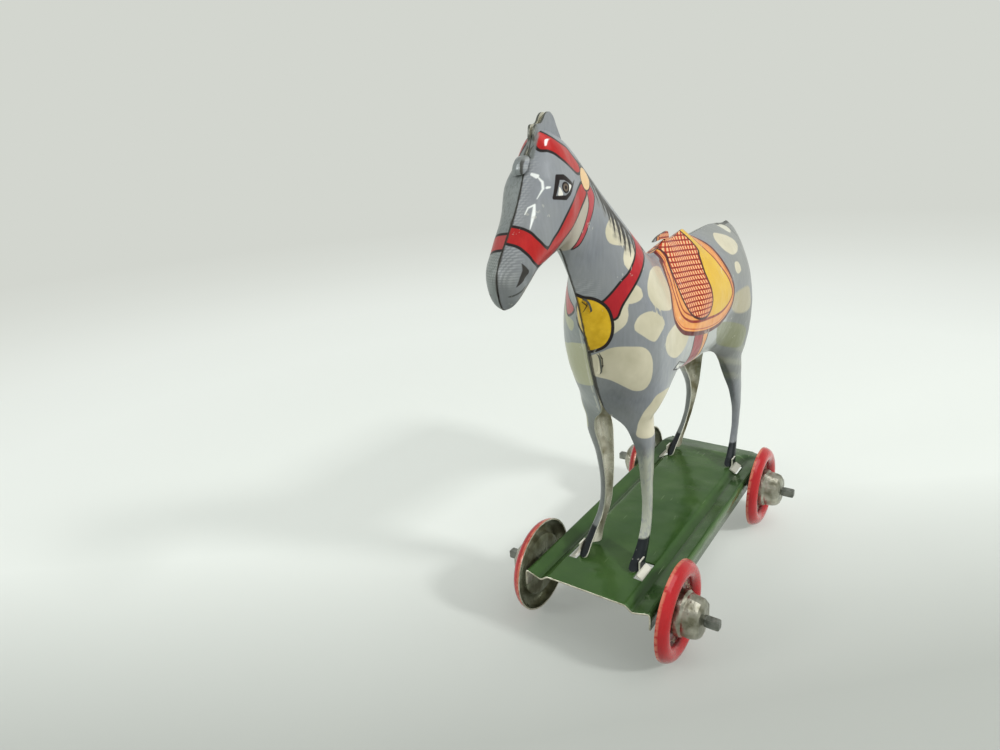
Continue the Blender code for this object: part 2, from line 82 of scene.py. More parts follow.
class Tone:
    """A number or colour that varies over a finish; arithmetic on it adds the nodes."""

    def __init__(self, tree, socket):
        self.tree = tree
        self.socket = socket

    def node(self, kind, settings=None, sockets=None, output=0):
        """Another node: its settings come first, then its sockets get their values or links."""
        made = self.tree.nodes.new(kind)
        for name, value in (settings or {}).items():
            setattr(made, name, value)
        for key, value in (sockets or {}).items():
            if isinstance(value, Tone):
                self.tree.links.new(value.socket, made.inputs[key])
            else:
                made.inputs[key].default_value = value
        return Tone(self.tree, made.outputs[output])

    def math(self, operation, *values):
        return self.node("ShaderNodeMath", {"operation": operation}, dict(enumerate(values)))

    def __add__(self, other):
        return self.math("ADD", self, other)

    def __sub__(self, other):
        return self.math("SUBTRACT", self, other)

    def __rsub__(self, other):
        return self.math("SUBTRACT", other, self)

    def __mul__(self, other):
        return self.math("MULTIPLY", self, other)

    def __truediv__(self, other):
        return self.math("DIVIDE", self, other)

    __radd__ = __add__
    __rmul__ = __mul__

    def above(self, limit, soft=0.12):
        """1 where this number is above the limit and 0 below it, with a soft step between."""
        ends = {"From Min": limit - soft / 2, "From Max": limit + soft / 2}
        return self.node("ShaderNodeMapRange", {"clamp": True}, {"Value": self, **ends})

    def below(self, limit, soft=0.12):
        return 1 - self.above(limit, soft)

    def near(self, middle, reach, soft=0.12):
        """1 in a band round the middle value, such as an ink line along an outline's zero."""
        return self.math("ABSOLUTE", self - middle).below(reach, soft)

    def mix(self, low, high):
        """A colour that goes from low to high as this number goes from 0 to 1."""
        return self.node("ShaderNodeMix", {"data_type": "RGBA"}, {0: self, 6: low, 7: high}, 2)

    def axis(self, letter):
        return self.node("ShaderNodeSeparateXYZ", {}, {0: self}, "XYZ".index(letter))

    def vector(self, operation, other=None, output=0):
        """Arithmetic on a place or direction; a single number comes from output 1."""
        second = {} if other is None else {1: other}
        return self.node("ShaderNodeVectorMath", {"operation": operation}, {0: self, **second}, output)

    def stretched(self, x, y, z):
        return self.vector("MULTIPLY", (x, y, z))

    def clouds(self, size, detail=2.0):
        """Cloudy numbers from 0 to 1, about size millimetres across."""
        scale = 1 / (size * MM)
        return self.node("ShaderNodeTexNoise", {}, {"Vector": self, "Scale": scale, "Detail": detail})

    def specks(self, size):
        """The distance from scattered middles, size millimetres apart, as a share of that size."""
        return self.node("ShaderNodeTexVoronoi", {}, {"Vector": self, "Scale": 1 / (size * MM)})

    def relief(self, depth):
        """A surface normal bent by this number, as if it stood up to depth millimetres high."""
        return self.node("ShaderNodeBump", {}, {"Strength": 1.0, "Distance": depth * MM, "Height": self})

    def into(self, shader, name):
        self.tree.links.new(self.socket, shader.inputs[name])


def new_finish(name, plain):
    """A material with its plain shader values, and its Object coordinates to paint with."""
    made = bpy.data.materials.new(name)
    made.use_nodes = True
    shader = made.node_tree.nodes["Principled BSDF"]
    for socket, value in plain.items():
        shader.inputs[socket].default_value = value
    place = made.node_tree.nodes.new("ShaderNodeTexCoord")
    return made, shader, Tone(made.node_tree, place.outputs["Object"])


def new_lacquer(name, coat, coat_roughness, specular):
    """A finish under a clear glossy coat."""
    return new_finish(name, {
        "Coat Weight": coat, "Coat Roughness": coat_roughness, "Specular IOR Level": specular})


def green_lacquer():
    """Thin green lacquer over tin: cloudy, with painted shade in the grooves and on the bent rear strip, a
    painted reflection on the left flange, a painted highlight on the rear crease, and lighter where it is
    scratched.
    """
    made, shader, place = new_lacquer("green_lacquer", 0.16, 0.04, 0.24)
    bend = (BEND_Y + PLATFORM_SHIFT) * MM
    across = place.axis("X").math("ABSOLUTE", place.axis("X"))
    left = place.axis("X").above(0.0, 1 * MM)
    cloud = place.clouds(9.0, 3.0)
    colour = cloud.above(0.5, 0.5).mix(paint(50, 80, 38), paint(68, 98, 48))
    # Painted shade: the grooves are darkened.
    groove = across.near(GROOVE_X * MM, 0.75 * MM, 0.6 * MM)
    colour = (groove * 0.55).mix(colour, paint(34, 54, 24))
    # Painted reflection: the outer face of the left flange is made paler and bluer, as if it mirrored the
    # pale table.
    side = across.above((PLATFORM_HALF - 0.35) * MM, 0.3 * MM)
    colour = (side * left * 0.5).mix(colour, paint(90, 114, 72))
    # Painted shade: the strip behind the rear bend is made a darker, bluer green.
    rear = place.axis("Y").above(bend, 0.5 * MM)
    colour = (rear * 0.55).mix(colour, paint(58, 84, 52))
    # Painted highlight: a pale broken line along the rear bend.
    crease_highlight = place.axis("Y").near(bend, 0.18 * MM, 0.5 * MM) * across.below(9 * MM, 2 * MM)
    crease_highlight = crease_highlight * place.clouds(1.6).above(0.45, 0.3)
    colour = (crease_highlight * 0.35).mix(colour, paint(150, 176, 132))
    scratch = place.stretched(1, 0.06, 1).clouds(0.35, 1.0).above(0.74, 0.03)
    scuff = place.clouds(5.0).above(0.56, 0.06)
    colour = (scratch * scuff * 0.5).mix(colour, paint(140, 165, 120))
    colour.into(shader, "Base Color")
    (place.clouds(3.0) * 0.16 + 0.12).into(shader, "Roughness")
    (0.35 - groove * 0.2).into(shader, "Metallic")
    (place.clouds(6.0, 1.0) + place.clouds(0.5, 2.0) * 0.03).relief(0.35).into(shader, "Normal")
    return made


def bare_tin(name, bright, stained, share, metallic=1.0):
    """Tinned sheet without print: streaks from rolling, and brown stains over a share of it."""
    made, shader, place = new_finish(name, {"Metallic": metallic})
    streak = place.stretched(1, 1, 0.12).clouds(0.7, 3.0)
    stain = place.clouds(3.5, 4.0).above(share, 0.22)
    colour = stain.mix(bright, stained)
    (streak.above(0.5, 0.5) * 0.35).mix(colour, stained).into(shader, "Base Color")
    (streak * 0.2 + stain * 0.2 + 0.16).into(shader, "Roughness")
    (streak + place.clouds(4.0) * 2).relief(0.06).into(shader, "Normal")
    return made


def cut_edge():
    """The sheet's raw cut edge, bright where the shears went through and dulled in places."""
    made, shader, place = new_finish("cut_edge", {"Metallic": 0.45})
    dulled = place.clouds(1.2, 3.0).above(0.55, 0.4)
    dulled.mix(paint(226, 222, 204), paint(150, 144, 120)).into(shader, "Base Color")
    (place.clouds(0.6) * 0.3 + 0.22).into(shader, "Roughness")
    return made


GREEN_LACQUER = green_lacquer()
BARE_TIN = bare_tin("bare_tin", paint(196, 192, 176), paint(120, 108, 80), 0.56)
CUT_EDGE = cut_edge()


def eased(corners, radius, steps=4):
    """The corners of a bent sheet, in two coordinates, with each inner corner turned into a small bend."""
    line = [Vector(corners[0])]
    for before, corner, after in zip(corners, corners[1:], corners[2:]):
        before, corner, after = Vector(before), Vector(corner), Vector(after)
        start = corner + (before - corner).normalized() * min(radius, (before - corner).length * 0.45)
        end = corner + (after - corner).normalized() * min(radius, (after - corner).length * 0.45)
        for step in range(steps + 1):
            t = step / steps
            line.append(start * (1 - t) ** 2 + corner * (2 * t * (1 - t)) + end * t**2)
    line.append(Vector(corners[-1]))
    return line


def mesh_of(build, name):
    """The finished mesh of what was built."""
    mesh = bpy.data.meshes.new(name)
    build.to_mesh(mesh)
    build.free()
    return mesh


def grid_mesh(name, rows):
    """A mesh over rows of points in millimetres, its doubles merged and its normals made to agree."""
    build = bmesh.new()
    corners = [[build.verts.new(Vector(point) * MM) for point in row] for row in rows]
    for row, after in zip(corners, corners[1:]):
        for i in range(len(row) - 1):
            build.faces.new((row[i], row[i + 1], after[i + 1], after[i]))
    bmesh.ops.remove_doubles(build, verts=build.verts, dist=0.003 * MM)
    bmesh.ops.recalc_face_normals(build, faces=build.faces)
    mesh = mesh_of(build, name)
    mesh.shade_smooth()
    return mesh


def in_scene(name, data):
    """A new object for the data, linked into the scene."""
    thing = bpy.data.objects.new(name, data)
    bpy.context.scene.collection.objects.link(thing)
    return thing


def piece(name, mesh, finishes):
    """An object for the mesh at the origin, with its finishes."""
    thing = in_scene(name, mesh)
    if mesh.materials:
        mesh.materials.clear()
    for finish in finishes:
        mesh.materials.append(finish)
    return thing


def settled(thing):
    """The piece with its modifiers worked into its mesh."""
    graph = bpy.context.evaluated_depsgraph_get()
    solved = thing.evaluated_get(graph)
    mesh = bpy.data.meshes.new_from_object(solved, preserve_all_data_layers=True, depsgraph=graph)
    thing.modifiers.clear()
    thing.data = mesh
    return thing


def give_thickness(thing, thickness=SHEET):
    """A wall behind the outer face, with bare tin as the second finish and the cut edge as the third."""
    wall = thing.modifiers.new("sheet", "SOLIDIFY")
    wall.thickness = thickness * MM
    wall.offset = -1
    wall.material_offset = 1
    wall.material_offset_rim = 2
    return settled(thing)


def punch(thing, cutters):
    """Cuts the openings out of the sheet and throws the punches away."""
    for mesh in cutters:
        cutter = in_scene("punch", mesh)
        opening = thing.modifiers.new("opening", "BOOLEAN")
        opening.object = cutter
        opening.operation = "DIFFERENCE"
        settled(thing)
        bpy.data.objects.remove(cutter)


def flange_bottom(y):
    """The height of a flange's lower edge: level, with a round ear hanging below each axle."""
    away = min(abs(y - HALF_WHEELBASE), abs(y + HALF_WHEELBASE))
    if away > EAR_RADIUS:
        return PLATFORM_TOP - FLANGE_DEPTH
    return WHEEL_RADIUS - math.sqrt(EAR_RADIUS**2 - away**2)


def platform_rows():
    """Rows of points across the platform from its front edge to its rear one."""
    lengths = list(np.linspace(PLATFORM_FRONT, PLATFORM_REAR - REAR_CORNER, 130))
    for axle_y in (-HALF_WHEELBASE, HALF_WHEELBASE):
        lengths += [axle_y + EAR_RADIUS * math.sin(math.pi * step / 20) for step in range(-10, 11)]
        lengths += [axle_y - EAR_RADIUS - 0.02, axle_y + EAR_RADIUS + 0.02]
    lengths = sorted(lengths)
    lengths += [PLATFORM_REAR - REAR_CORNER * (1 - math.sin(math.pi / 18 * step)) for step in range(1, 9)]
    rows = []
    for y in lengths:
        turned = max(0.0, (y - PLATFORM_REAR + REAR_CORNER) / REAR_CORNER)
        shrink = REAR_CORNER * (1 - math.sqrt(max(0.0, 1 - turned**2)))
        half = PLATFORM_HALF - shrink
        past = max(0.0, y - BEND_Y)
        top = PLATFORM_TOP - REAR_DROP * past / REAR_BEND
        depth = GROOVE_DEPTH * max(0.0, 1 - past / 1.6)
        corners = [
            (0, top), (PANEL_HALF, top), (GROOVE_X, top - depth), (GROOVE_X + 0.35, top - depth * 0.95),
            (half - RIM_CORNER * 0.5, top - 0.1), (half, top - RIM_CORNER), (half, flange_bottom(y)),
        ]
        line = [(x * min(1.0, half / PLATFORM_HALF) if x < half - 1 else x, z) for x, z in corners]
        line = eased(line, BEND_RADIUS, 3)
        line = [line[0].lerp(line[1], step / 8) for step in range(8)] + line[1:]
        across = [Vector((-point.x, point.y)) for point in reversed(line[1:])] + line
        row = []
        for point in across:
            square = shrink * 0.75 if point.x < 0 else 0.0
            place = Vector((point.x - square * min(1.0, -point.x / half), y + PLATFORM_SHIFT, point.y))
            wave = 0.07 * noise.noise(place * 0.16) + 0.03 * noise.noise(place * 0.6)
            dent = DENT_HEIGHT * math.exp(-((place.x - DENT_X) ** 2 + (y - DENT_Y) ** 2) / 1.1)
            place.z += (wave + dent) * (1.0 if abs(point.x) < half - 0.4 else 0.0)
            row.append(place)
        rows.append(row)
    return rows


def box_punch(low, high):
    """A square punch between two corners in millimetres."""
    build = bmesh.new()
    size = Vector(high) - Vector(low)
    place = Matrix.Translation((Vector(high) + Vector(low)) / 2 * MM) @ Matrix.Diagonal((*(size * MM), 1))
    bmesh.ops.create_cube(build, size=1, matrix=place)
    return mesh_of(build, "punch")


def round_punch(y, z, radius, reach):
    """A round punch along X through both flanges."""
    build = bmesh.new()
    place = Matrix.Translation(Vector((0, y, z)) * MM) @ Matrix.Rotation(math.pi / 2, 4, "Y")
    bmesh.ops.create_cone(build, cap_ends=True, segments=32, radius1=radius * MM, radius2=radius * MM,
                          depth=2 * reach * MM, matrix=place)
    return mesh_of(build, "punch")


# Where each hoof stands: (side, y of its middle, x of the outer wall, how far its slot reaches forward)
HOOVES = ((1, -16.1, 6.2, 3.6), (-1, -16.1, 6.2, 3.4), (1, 30.2, 8.0, 2.4), (-1, 30.2, 8.0, 2.0))
HOOF_TAB = 4.0
SLOT_SIGHT = 1.3
SLOT_PUNCH = (11.6, 14.2)
BORE_PLAY = 0.2

platform = piece("pressed_platform", grid_mesh("pressed_platform", platform_rows()),
                 [GREEN_LACQUER, BARE_TIN, CUT_EDGE])
if platform.data.polygons[len(platform.data.polygons) // 2].normal.z < 0:
    platform.data.flip_normals()
give_thickness(platform)
openings = [round_punch(axle_y + PLATFORM_SHIFT, WHEEL_RADIUS, AXLE_RADIUS + BORE_PLAY, PLATFORM_HALF + 1)
            for axle_y in (-HALF_WHEELBASE, HALF_WHEELBASE)]
for side, y, outer, ahead in HOOVES:
    near, far = sorted((side * (outer - 0.5), side * (outer + SLOT_SIGHT)))
    openings.append(box_punch((near, y - ahead, SLOT_PUNCH[0]), (far, y + HOOF_TAB / 2, SLOT_PUNCH[1])))
punch(platform, openings)
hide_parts("platform")
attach(platform, "horse_and_platform")

# Each axle is a length of dull steel wire through the platform's ears. Its two ends are pinched square and
# cut off, so that the wheels stay on.
AXLE_REACH = 21.1
PINCH = 2.6
END_DENT = 0.05


def steel_wire():
    """Drawn wire with lengthwise lines, darker where the oxide has stayed."""
    made, shader, place = new_finish("steel_wire", {"Metallic": 1.0})
    lines = place.stretched(0.08, 1, 1).clouds(0.25, 3.0)
    worn = place.clouds(1.4, 3.0).above(0.5, 0.4)
    (lines * 0.4 + worn * 0.6).mix(paint(92, 96, 90), paint(158, 160, 152)).into(shader, "Base Color")
    (0.42 - worn * 0.14).into(shader, "Roughness")
    (lines + place.clouds(0.5)).relief(0.08).into(shader, "Normal")
    return made


STEEL_WIRE = steel_wire()


def axle_rows():
    """Rings along the wire: round in the middle, squeezed square near each end and sheared off."""
    # From the wire's middle outwards, as (x, how square it is there)
    half = [(0.0, 0.0), (16.4, 0.0), (17.6, 0.15), (AXLE_REACH - PINCH, 0.75),
            (AXLE_REACH - 1.9, 1.0), (AXLE_REACH - 0.25, 1.0), (AXLE_REACH, 1.0)]
    stations = [(-x, square) for x, square in reversed(half)] + half[1:]
    rows = [[(-AXLE_REACH + END_DENT, 0, WHEEL_RADIUS)] * 33]
    for x, square in stations:
        ring = []
        for step in range(33):
            turn = 2 * math.pi * step / 32
            boxy = max(abs(math.cos(turn)), abs(math.sin(turn)))
            radius = AXLE_RADIUS * (1 - square) + (0.8 * AXLE_RADIUS / boxy) * square
            radius *= 0.9 if abs(x) == AXLE_REACH else 1.0
            radius += 0.05 * square * noise.noise(Vector((x * 2, math.cos(turn) * 2, math.sin(turn) * 2)))
            high = radius * (1.0 + 0.12 * square)
            ring.append((x, radius * math.cos(turn), WHEEL_RADIUS + high * math.sin(turn)))
        rows.append(ring)
    rows.append([(AXLE_REACH - END_DENT, 0, WHEEL_RADIUS)] * 33)
    return rows


for end, axle_y in (("front", -HALF_WHEELBASE), ("rear", HALF_WHEELBASE)):
    mesh = grid_mesh(f"{end}_wire", axle_rows())
    mesh.transform(Matrix.Translation((0, (axle_y + PLATFORM_SHIFT) * MM, 0)))
    mesh.set_sharp_from_angle(angle=math.radians(40))
    wire = piece(f"{end}_wire", mesh, [STEEL_WIRE])
    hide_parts(f"{end}_axle")
    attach(wire, f"{end}_axle")

# Each wheel is a disc pressed from tin, with a hollow round rim. Its outer face is lacquered red and its
# inner face is bare, and it turns on the wire between the platform's ear and its hub.
WHEEL_PLANE = 13.3
RIM_BAND = 3.2
RIM_CROWN = 1.9
DISC_DISH = 0.5
WHEEL_WALL = 0.3


def red_lacquer():
    """Bright red lacquer, thin along the rim's crest, and worn through round the hub to brown tin that is
    darkened further as painted shade.
    """
    made, shader, place = new_lacquer("red_lacquer", 0.35, 0.05, 0.35)
    away = place.node("ShaderNodeAttribute", {"attribute_name": "from_axle"}, {}, 2)
    cloud = place.clouds(5.0, 3.0)
    colour = cloud.above(0.5, 0.6).mix(paint(154, 14, 24), paint(178, 22, 28))
    edge = away.above(WHEEL_RADIUS - 0.06, 0.08)
    colour = (edge * (place.clouds(0.8).above(0.42, 0.2)) * 0.5).mix(colour, paint(220, 150, 118))
    # Round the hub the red gives way to dark brown: worn-through tin, darkened further as painted shade of
    # the hollow between rim and hub.
    foot = away.below(WHEEL_RADIUS - RIM_BAND - 0.1, 0.5)
    colour = (foot * 0.9).mix(colour, paint(56, 36, 28))
    worn = (away + place.clouds(0.9, 3.0) * 3.0).near(WHEEL_RADIUS - RIM_BAND + 0.9, 0.12, 0.3)
    colour = worn.mix(colour, paint(196, 182, 156))
    chip = (place.clouds(0.9, 2.0) * place.clouds(4.0)).above(0.54, 0.02)
    (chip * 0.8).mix(colour, paint(210, 190, 170)).into(shader, "Base Color")
    (worn * 0.25 + place.clouds(2.0) * 0.1 + 0.16).into(shader, "Roughness")
    (worn * 0.8 + 0.08).into(shader, "Metallic")
    (place.clouds(3.0, 2.0) + place.clouds(0.5) * 0.06).relief(0.14).into(shader, "Normal")
    return made


RED_LACQUER = red_lacquer()
WHEEL_INSIDE = bare_tin("bare_tin_in_wheel", paint(150, 154, 132), paint(92, 90, 66), 0.5, 0.6)


def disc_tree():
    """The pressing of a wheel: a flat dished middle that swings out into a half-round rim."""
    tree = bpy.data.node_groups.new("pressed_disc", "GeometryNodeTree")
    named = {"Rim radius": WHEEL_RADIUS, "Rim band": RIM_BAND, "Rim crown": RIM_CROWN, "Dish": DISC_DISH,
             "Bore": AXLE_RADIUS + BORE_PLAY, "Side": 1.0}
    for name, value in named.items():
        socket = tree.interface.new_socket(name, in_out="INPUT", socket_type="NodeSocketFloat")
        socket.default_value = value
    tree.interface.new_socket("Finish", in_out="INPUT", socket_type="NodeSocketMaterial")
    tree.interface.new_socket("Geometry", in_out="OUTPUT", socket_type="NodeSocketGeometry")
    given = tree.nodes.new("NodeGroupInput")
    size = {name: Tone(tree, given.outputs[name]) for name in (*named, "Finish")}
    start = size["Side"]
    grid = start.node("GeometryNodeMeshGrid", {}, {0: 1.0, 1: 1.0, 2: 97, 3: 31})
    spot = start.node("GeometryNodeInputPosition")
    flat_share = 0.25
    along = spot.axis("Y") + 0.5
    flat = along.node("ShaderNodeMapRange", {}, {0: along, 2: flat_share})
    bend = along.node("ShaderNodeMapRange", {}, {0: along, 1: flat_share, 4: math.pi})
    radius = size["Bore"] + (size["Rim radius"] - size["Rim band"] - size["Bore"]) * flat
    radius = radius + size["Rim band"] / 2 * (1 - bend.math("COSINE", bend))
    crown = size["Rim crown"] - size["Dish"] / 2
    outward = size["Dish"] * (1 - bend / math.pi) + crown * bend.math("SINE", bend)
    turn = (spot.axis("X") + 0.5) * (2 * math.pi)
    place = start.node("ShaderNodeCombineXYZ", {}, {
        0: size["Side"] * outward * MM,
        1: radius * turn.math("COSINE", turn) * MM,
        2: radius * turn.math("SINE", turn) * MM,
    })
    shaped = start.node("GeometryNodeSetPosition", {}, {"Geometry": grid, "Position": place})
    closed = start.node("GeometryNodeMergeByDistance", {}, {"Geometry": shaped, "Distance": 0.001 * MM})
    kept = start.node("GeometryNodeStoreNamedAttribute", {"data_type": "FLOAT", "domain": "POINT"},
                      {"Geometry": closed, "Name": "from_axle", "Value": 0.0})
    real = start.node("GeometryNodeRealizeInstances", {}, {"Geometry": kept})
    coated = start.node("GeometryNodeSetMaterial", {}, {"Geometry": real, "Material": size["Finish"]})
    leaving = tree.nodes.new("NodeGroupOutput")
    tree.links.new(coated.socket, leaving.inputs["Geometry"])
    return tree


DISC_TREE = disc_tree()


def turn_outwards(build, side):
    """Makes the faces agree, so that those furthest out on this side look outwards."""
    bmesh.ops.recalc_face_normals(build, faces=build.faces)
    crest = max(build.faces, key=lambda face: side * face.calc_center_median().x)
    if crest.normal.x * side < 0:
        bmesh.ops.reverse_faces(build, faces=build.faces)


def pressed_disc(name, side, axle_y):
    """One wheel, pressed by the tree, set on its axle and given its thickness."""
    seed = in_scene(name, bpy.data.meshes.new(name))
    press = seed.modifiers.new("press", "NODES")
    press.node_group = DISC_TREE
    for item in DISC_TREE.interface.items_tree:
        if item.name == "Side":
            press[item.identifier] = float(side)
        if item.name == "Finish":
            press[item.identifier] = RED_LACQUER
    mesh = settled(seed).data
    bpy.data.objects.remove(seed)
    build = bmesh.new()
    build.from_mesh(mesh)
    turn_outwards(build, side)
    build.to_mesh(mesh)
    build.free()
    reach = mesh.attributes["from_axle"]
    for i, corner in enumerate(mesh.vertices):
        reach.data[i].value = math.hypot(corner.co.y, corner.co.z) / MM
    middle = Vector((side * WHEEL_PLANE, axle_y + PLATFORM_SHIFT, WHEEL_RADIUS))
    mesh.transform(Matrix.Translation(middle * MM))
    mesh.shade_smooth()
    disc = piece(name, mesh, [RED_LACQUER, WHEEL_INSIDE, CUT_EDGE])
    give_thickness(disc, WHEEL_WALL)
    disc.data.set_sharp_from_angle(angle=math.radians(50))
    return disc


# Each hub is cast in white metal round the wire and holds the wheel. The casting is rough: lumpy, with
# small flats, a low shoulder and a bright, slightly pitted skin.
HUB_LENGTH = 5.3
HUB_PROFILE = (
    (0.85, 0.9), (0.85, 3.2), (0.8, 4.15), (1.25, 4.3), (1.9, 4.2), (2.35, 3.9), (3.1, 3.85), (3.9, 3.75),
    (4.6, 3.5), (5.05, 3.0), (5.25, 2.2), (5.2, 1.3), (5.3, 0.86),
)
HUB_STEPS = 40


def white_metal():
    """A cast lead and tin skin: bright lumps, grey hollows and small pits."""
    made, shader, place = new_finish("white_metal", {"Metallic": 1.0})
    lumps = place.clouds(1.8, 2.0)
    pits = place.specks(0.7).below(0.22, 0.2) * place.clouds(1.6).above(0.55, 0.2)
    colour = lumps.above(0.5, 0.4).mix(paint(122, 120, 102), paint(196, 194, 180))
    (pits * 0.4).mix(colour, paint(96, 92, 76)).into(shader, "Base Color")
    (lumps * 0.25 + 0.2).into(shader, "Roughness")
    (lumps - pits * 0.2).relief(0.22).into(shader, "Normal")
    return made


WHITE_METAL = white_metal()


def cast_hub(name, side, axle_y, seed):
    """The drum spun from its profile, its skin pushed in and out by a fixed noise."""
    rows = []
    for out, radius in HUB_PROFILE:
        ring = []
        for step in range(HUB_STEPS + 1):
            turn = 2 * math.pi * (step % HUB_STEPS) / HUB_STEPS
            along, up = math.cos(turn), math.sin(turn)
            spot = Vector((out * 0.45, along * radius * 0.5, up * radius * 0.5 + seed * 7.0))
            lump = 0.2 * noise.noise(spot) + 0.1 * noise.noise(spot * 2.7)
            flat = 0.07 * abs(math.sin(turn * 4.5 + seed))
            size = radius if radius < 1 else radius + lump - flat - 0.05
            axial = 0.14 * noise.noise(spot * 1.7 + Vector((9, 0, 0))) if out > 1.2 and radius > 1 else 0.0
            x = side * (WHEEL_PLANE + min(out + axial, HUB_LENGTH))
            ring.append((x, axle_y + PLATFORM_SHIFT + size * along, WHEEL_RADIUS + size * up))
        rows.append(ring)
    rows.append(rows[0])
    mesh = grid_mesh(name, rows)
    mesh.set_sharp_from_angle(angle=math.radians(16))
    return piece(name, mesh, [WHITE_METAL])


for end, axle_y in (("front", -HALF_WHEELBASE), ("rear", HALF_WHEELBASE)):
    for word, side in (("left", 1), ("right", -1)):
        body = f"{end}_{word}_wheel"
        disc = pressed_disc(f"{end}_{word}_disc", side, axle_y)
        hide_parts(body)
        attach(disc, body)
        drum = cast_hub(f"{end}_{word}_drum", side, axle_y, side + axle_y / 10)
        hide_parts(f"{end}_{word}_hub")
        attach(drum, body)

# The horse is pressed in two printed halves that meet along the middle, held by small folded tabs. Bridle,
# saddle, mane and dapples are printed in ink on the sheet before it is pressed, and the inside stays bare.
SEAM_GAP = 0.05
SECTION_ROWS = 6
# How sharply a section closes at its top seam and at its lower one, by the section's top y
CREST = ((-51.6, 0.8), (-44.0, 0.72), (-41.0, 1.1), (-36.0, 1.25), (40.0, 1.25))
BREAST = ((-51.6, 1.0), (-40.0, 1.2), (-34.0, 2.2), (-24.0, 2.0), (-17.0, 1.3), (-9.0, 1.0), (40.0, 1.0))
SADDLE_RISE = ((-2.6, 0.0), (0.4, 2.0), (3.4, 0.9), (6.6, 1.3), (9.8, 2.5), (12.6, 0.0))
RISE_BELOW = 0.4
HOOF_SOLE = 13.5

# Sections from the top seam to the lower one, or to the top of a leg, measured from the platform's middle:
# (top y, top z, lower y, lower z, half width, share of the way down where it is widest, lower x)
HEAD_AND_NECK = (
    (-51.4, 69.8, -51.2, 68.6, 0.1, 0.5, 0.0),
    (-51.5, 71.6, -50.5, 66.6, 2.0, 0.5, 0.0),
    (-50.5, 73.6, -48.8, 67.6, 2.9, 0.5, 0.0),
    (-48.4, 76.2, -46.6, 70.0, 3.4, 0.5, 0.0),
    (-46.1, 79.2, -43.4, 71.2, 3.8, 0.5, 0.0),
    (-44.8, 81.8, -40.4, 71.9, 4.1, 0.5, 0.0),
    (-43.8, 84.0, -38.2, 72.4, 4.2, 0.5, 0.0),
    (-42.4, 86.2, -36.8, 72.8, 4.1, 0.5, 0.0),
    (-41.4, 88.8, -36.0, 72.4, 3.9, 0.5, 0.0),
    (-38.0, 88.4, -35.2, 71.2, 3.6, 0.48, 0.0),
    (-34.4, 86.9, -34.4, 69.4, 3.3, 0.46, 0.0),
    (-30.6, 84.1, -33.4, 67.2, 3.0, 0.46, 0.0),
    (-26.4, 80.8, -32.2, 65.0, 3.1, 0.46, 0.0),
    (-21.8, 77.4, -31.2, 62.4, 4.0, 0.5, 0.0),
    (-17.2, 73.6, -29.9, 58.4, 6.2, 0.56, 0.0),
    (-12.8, 69.8, -28.4, 53.8, 8.0, 0.6, 0.0),
    (-9.0, 67.6, -26.8, 48.2, 8.9, 0.62, 0.0),
    (-5.6, 66.6, -23.8, 42.8, 8.9, 0.62, 0.0),
)
SHOULDER = (
    (-2.6, 66.6, -22.6, 41.4, 8.8, 0.6, 3.0),
    (0.4, 66.8, -21.2, 40.6, 8.8, 0.58, 5.0),
    (3.4, 66.9, -19.2, 41.0, 8.7, 0.54, 5.9),
    (6.6, 66.9, -17.4, 43.0, 8.7, 0.52, 5.8),
    (9.8, 67.0, -15.6, 45.5, 8.9, 0.5, 5.2),
)
BELLY = (
    (12.6, 67.2, -11.4, 45.7, 9.1, 0.5, 4.6),
    (15.6, 67.4, -4.0, 44.5, 9.1, 0.5, 4.0),
    (18.6, 67.6, 4.6, 43.9, 9.0, 0.5, 4.0),
    (21.2, 67.8, 10.0, 43.8, 8.9, 0.5, 4.0),
    (23.6, 67.9, 14.4, 43.4, 8.7, 0.5, 4.2),
)
THIGH = (
    (25.8, 67.8, 17.8, 42.2, 8.6, 0.5, 5.0),
    (27.8, 67.6, 20.8, 39.8, 8.7, 0.52, 6.2),
    (29.8, 67.5, 26.4, 37.8, 8.6, 0.54, 7.1),
    (31.8, 67.2, 32.6, 38.6, 8.1, 0.56, 6.2),
    (33.8, 67.0, 35.2, 41.0, 7.1, 0.58, 3.0),
)
RUMP = (
    (35.6, 67.2, 37.4, 44.6, 5.7, 0.6, 0.0),
    (37.2, 67.2, 39.2, 49.6, 4.0, 0.62, 0.0),
    (38.7, 64.8, 39.7, 54.2, 2.2, 0.58, 0.0),
    (39.6, 62.0, 39.9, 58.0, 0.7, 0.5, 0.0),
)
# Rings of a leg: (height, x of its middle, y of its middle, length along Y, depth along X)
FRONT_LEG = (
    (37.6, 5.0, -17.8, 6.2, 2.6),
    (34.0, 4.7, -16.7, 4.6, 2.0),
    (30.0, 4.5, -16.0, 3.8, 1.7),
    (26.0, 4.4, -15.7, 3.0, 1.4),
    (22.0, 4.5, -15.8, 2.8, 1.3),
    (19.2, 4.7, -16.7, 2.9, 1.3),
    (16.8, 5.1, -18.8, 3.4, 1.5),
    (15.0, 5.2, -20.6, 4.4, 1.8),
    (HOOF_SOLE, 5.2, -21.9, 5.6, 2.1),
)
HIND_LEG = (
    (35.0, 5.6, 28.8, 8.6, 2.8),
    (31.4, 5.5, 31.0, 6.2, 2.0),
    (28.0, 5.6, 31.9, 4.6, 1.7),
    (25.0, 5.8, 31.9, 3.4, 1.4),
    (22.0, 6.0, 31.1, 2.9, 1.2),
    (19.0, 6.3, 29.4, 2.8, 1.2),
    (16.6, 6.7, 27.0, 3.2, 1.4),
    (15.0, 7.0, 25.4, 4.0, 1.6),
    (HOOF_SOLE, 7.1, 24.4, 5.0, 1.9),
)
LEG_SPREAD = {1: 1.0, -1: 1.35}


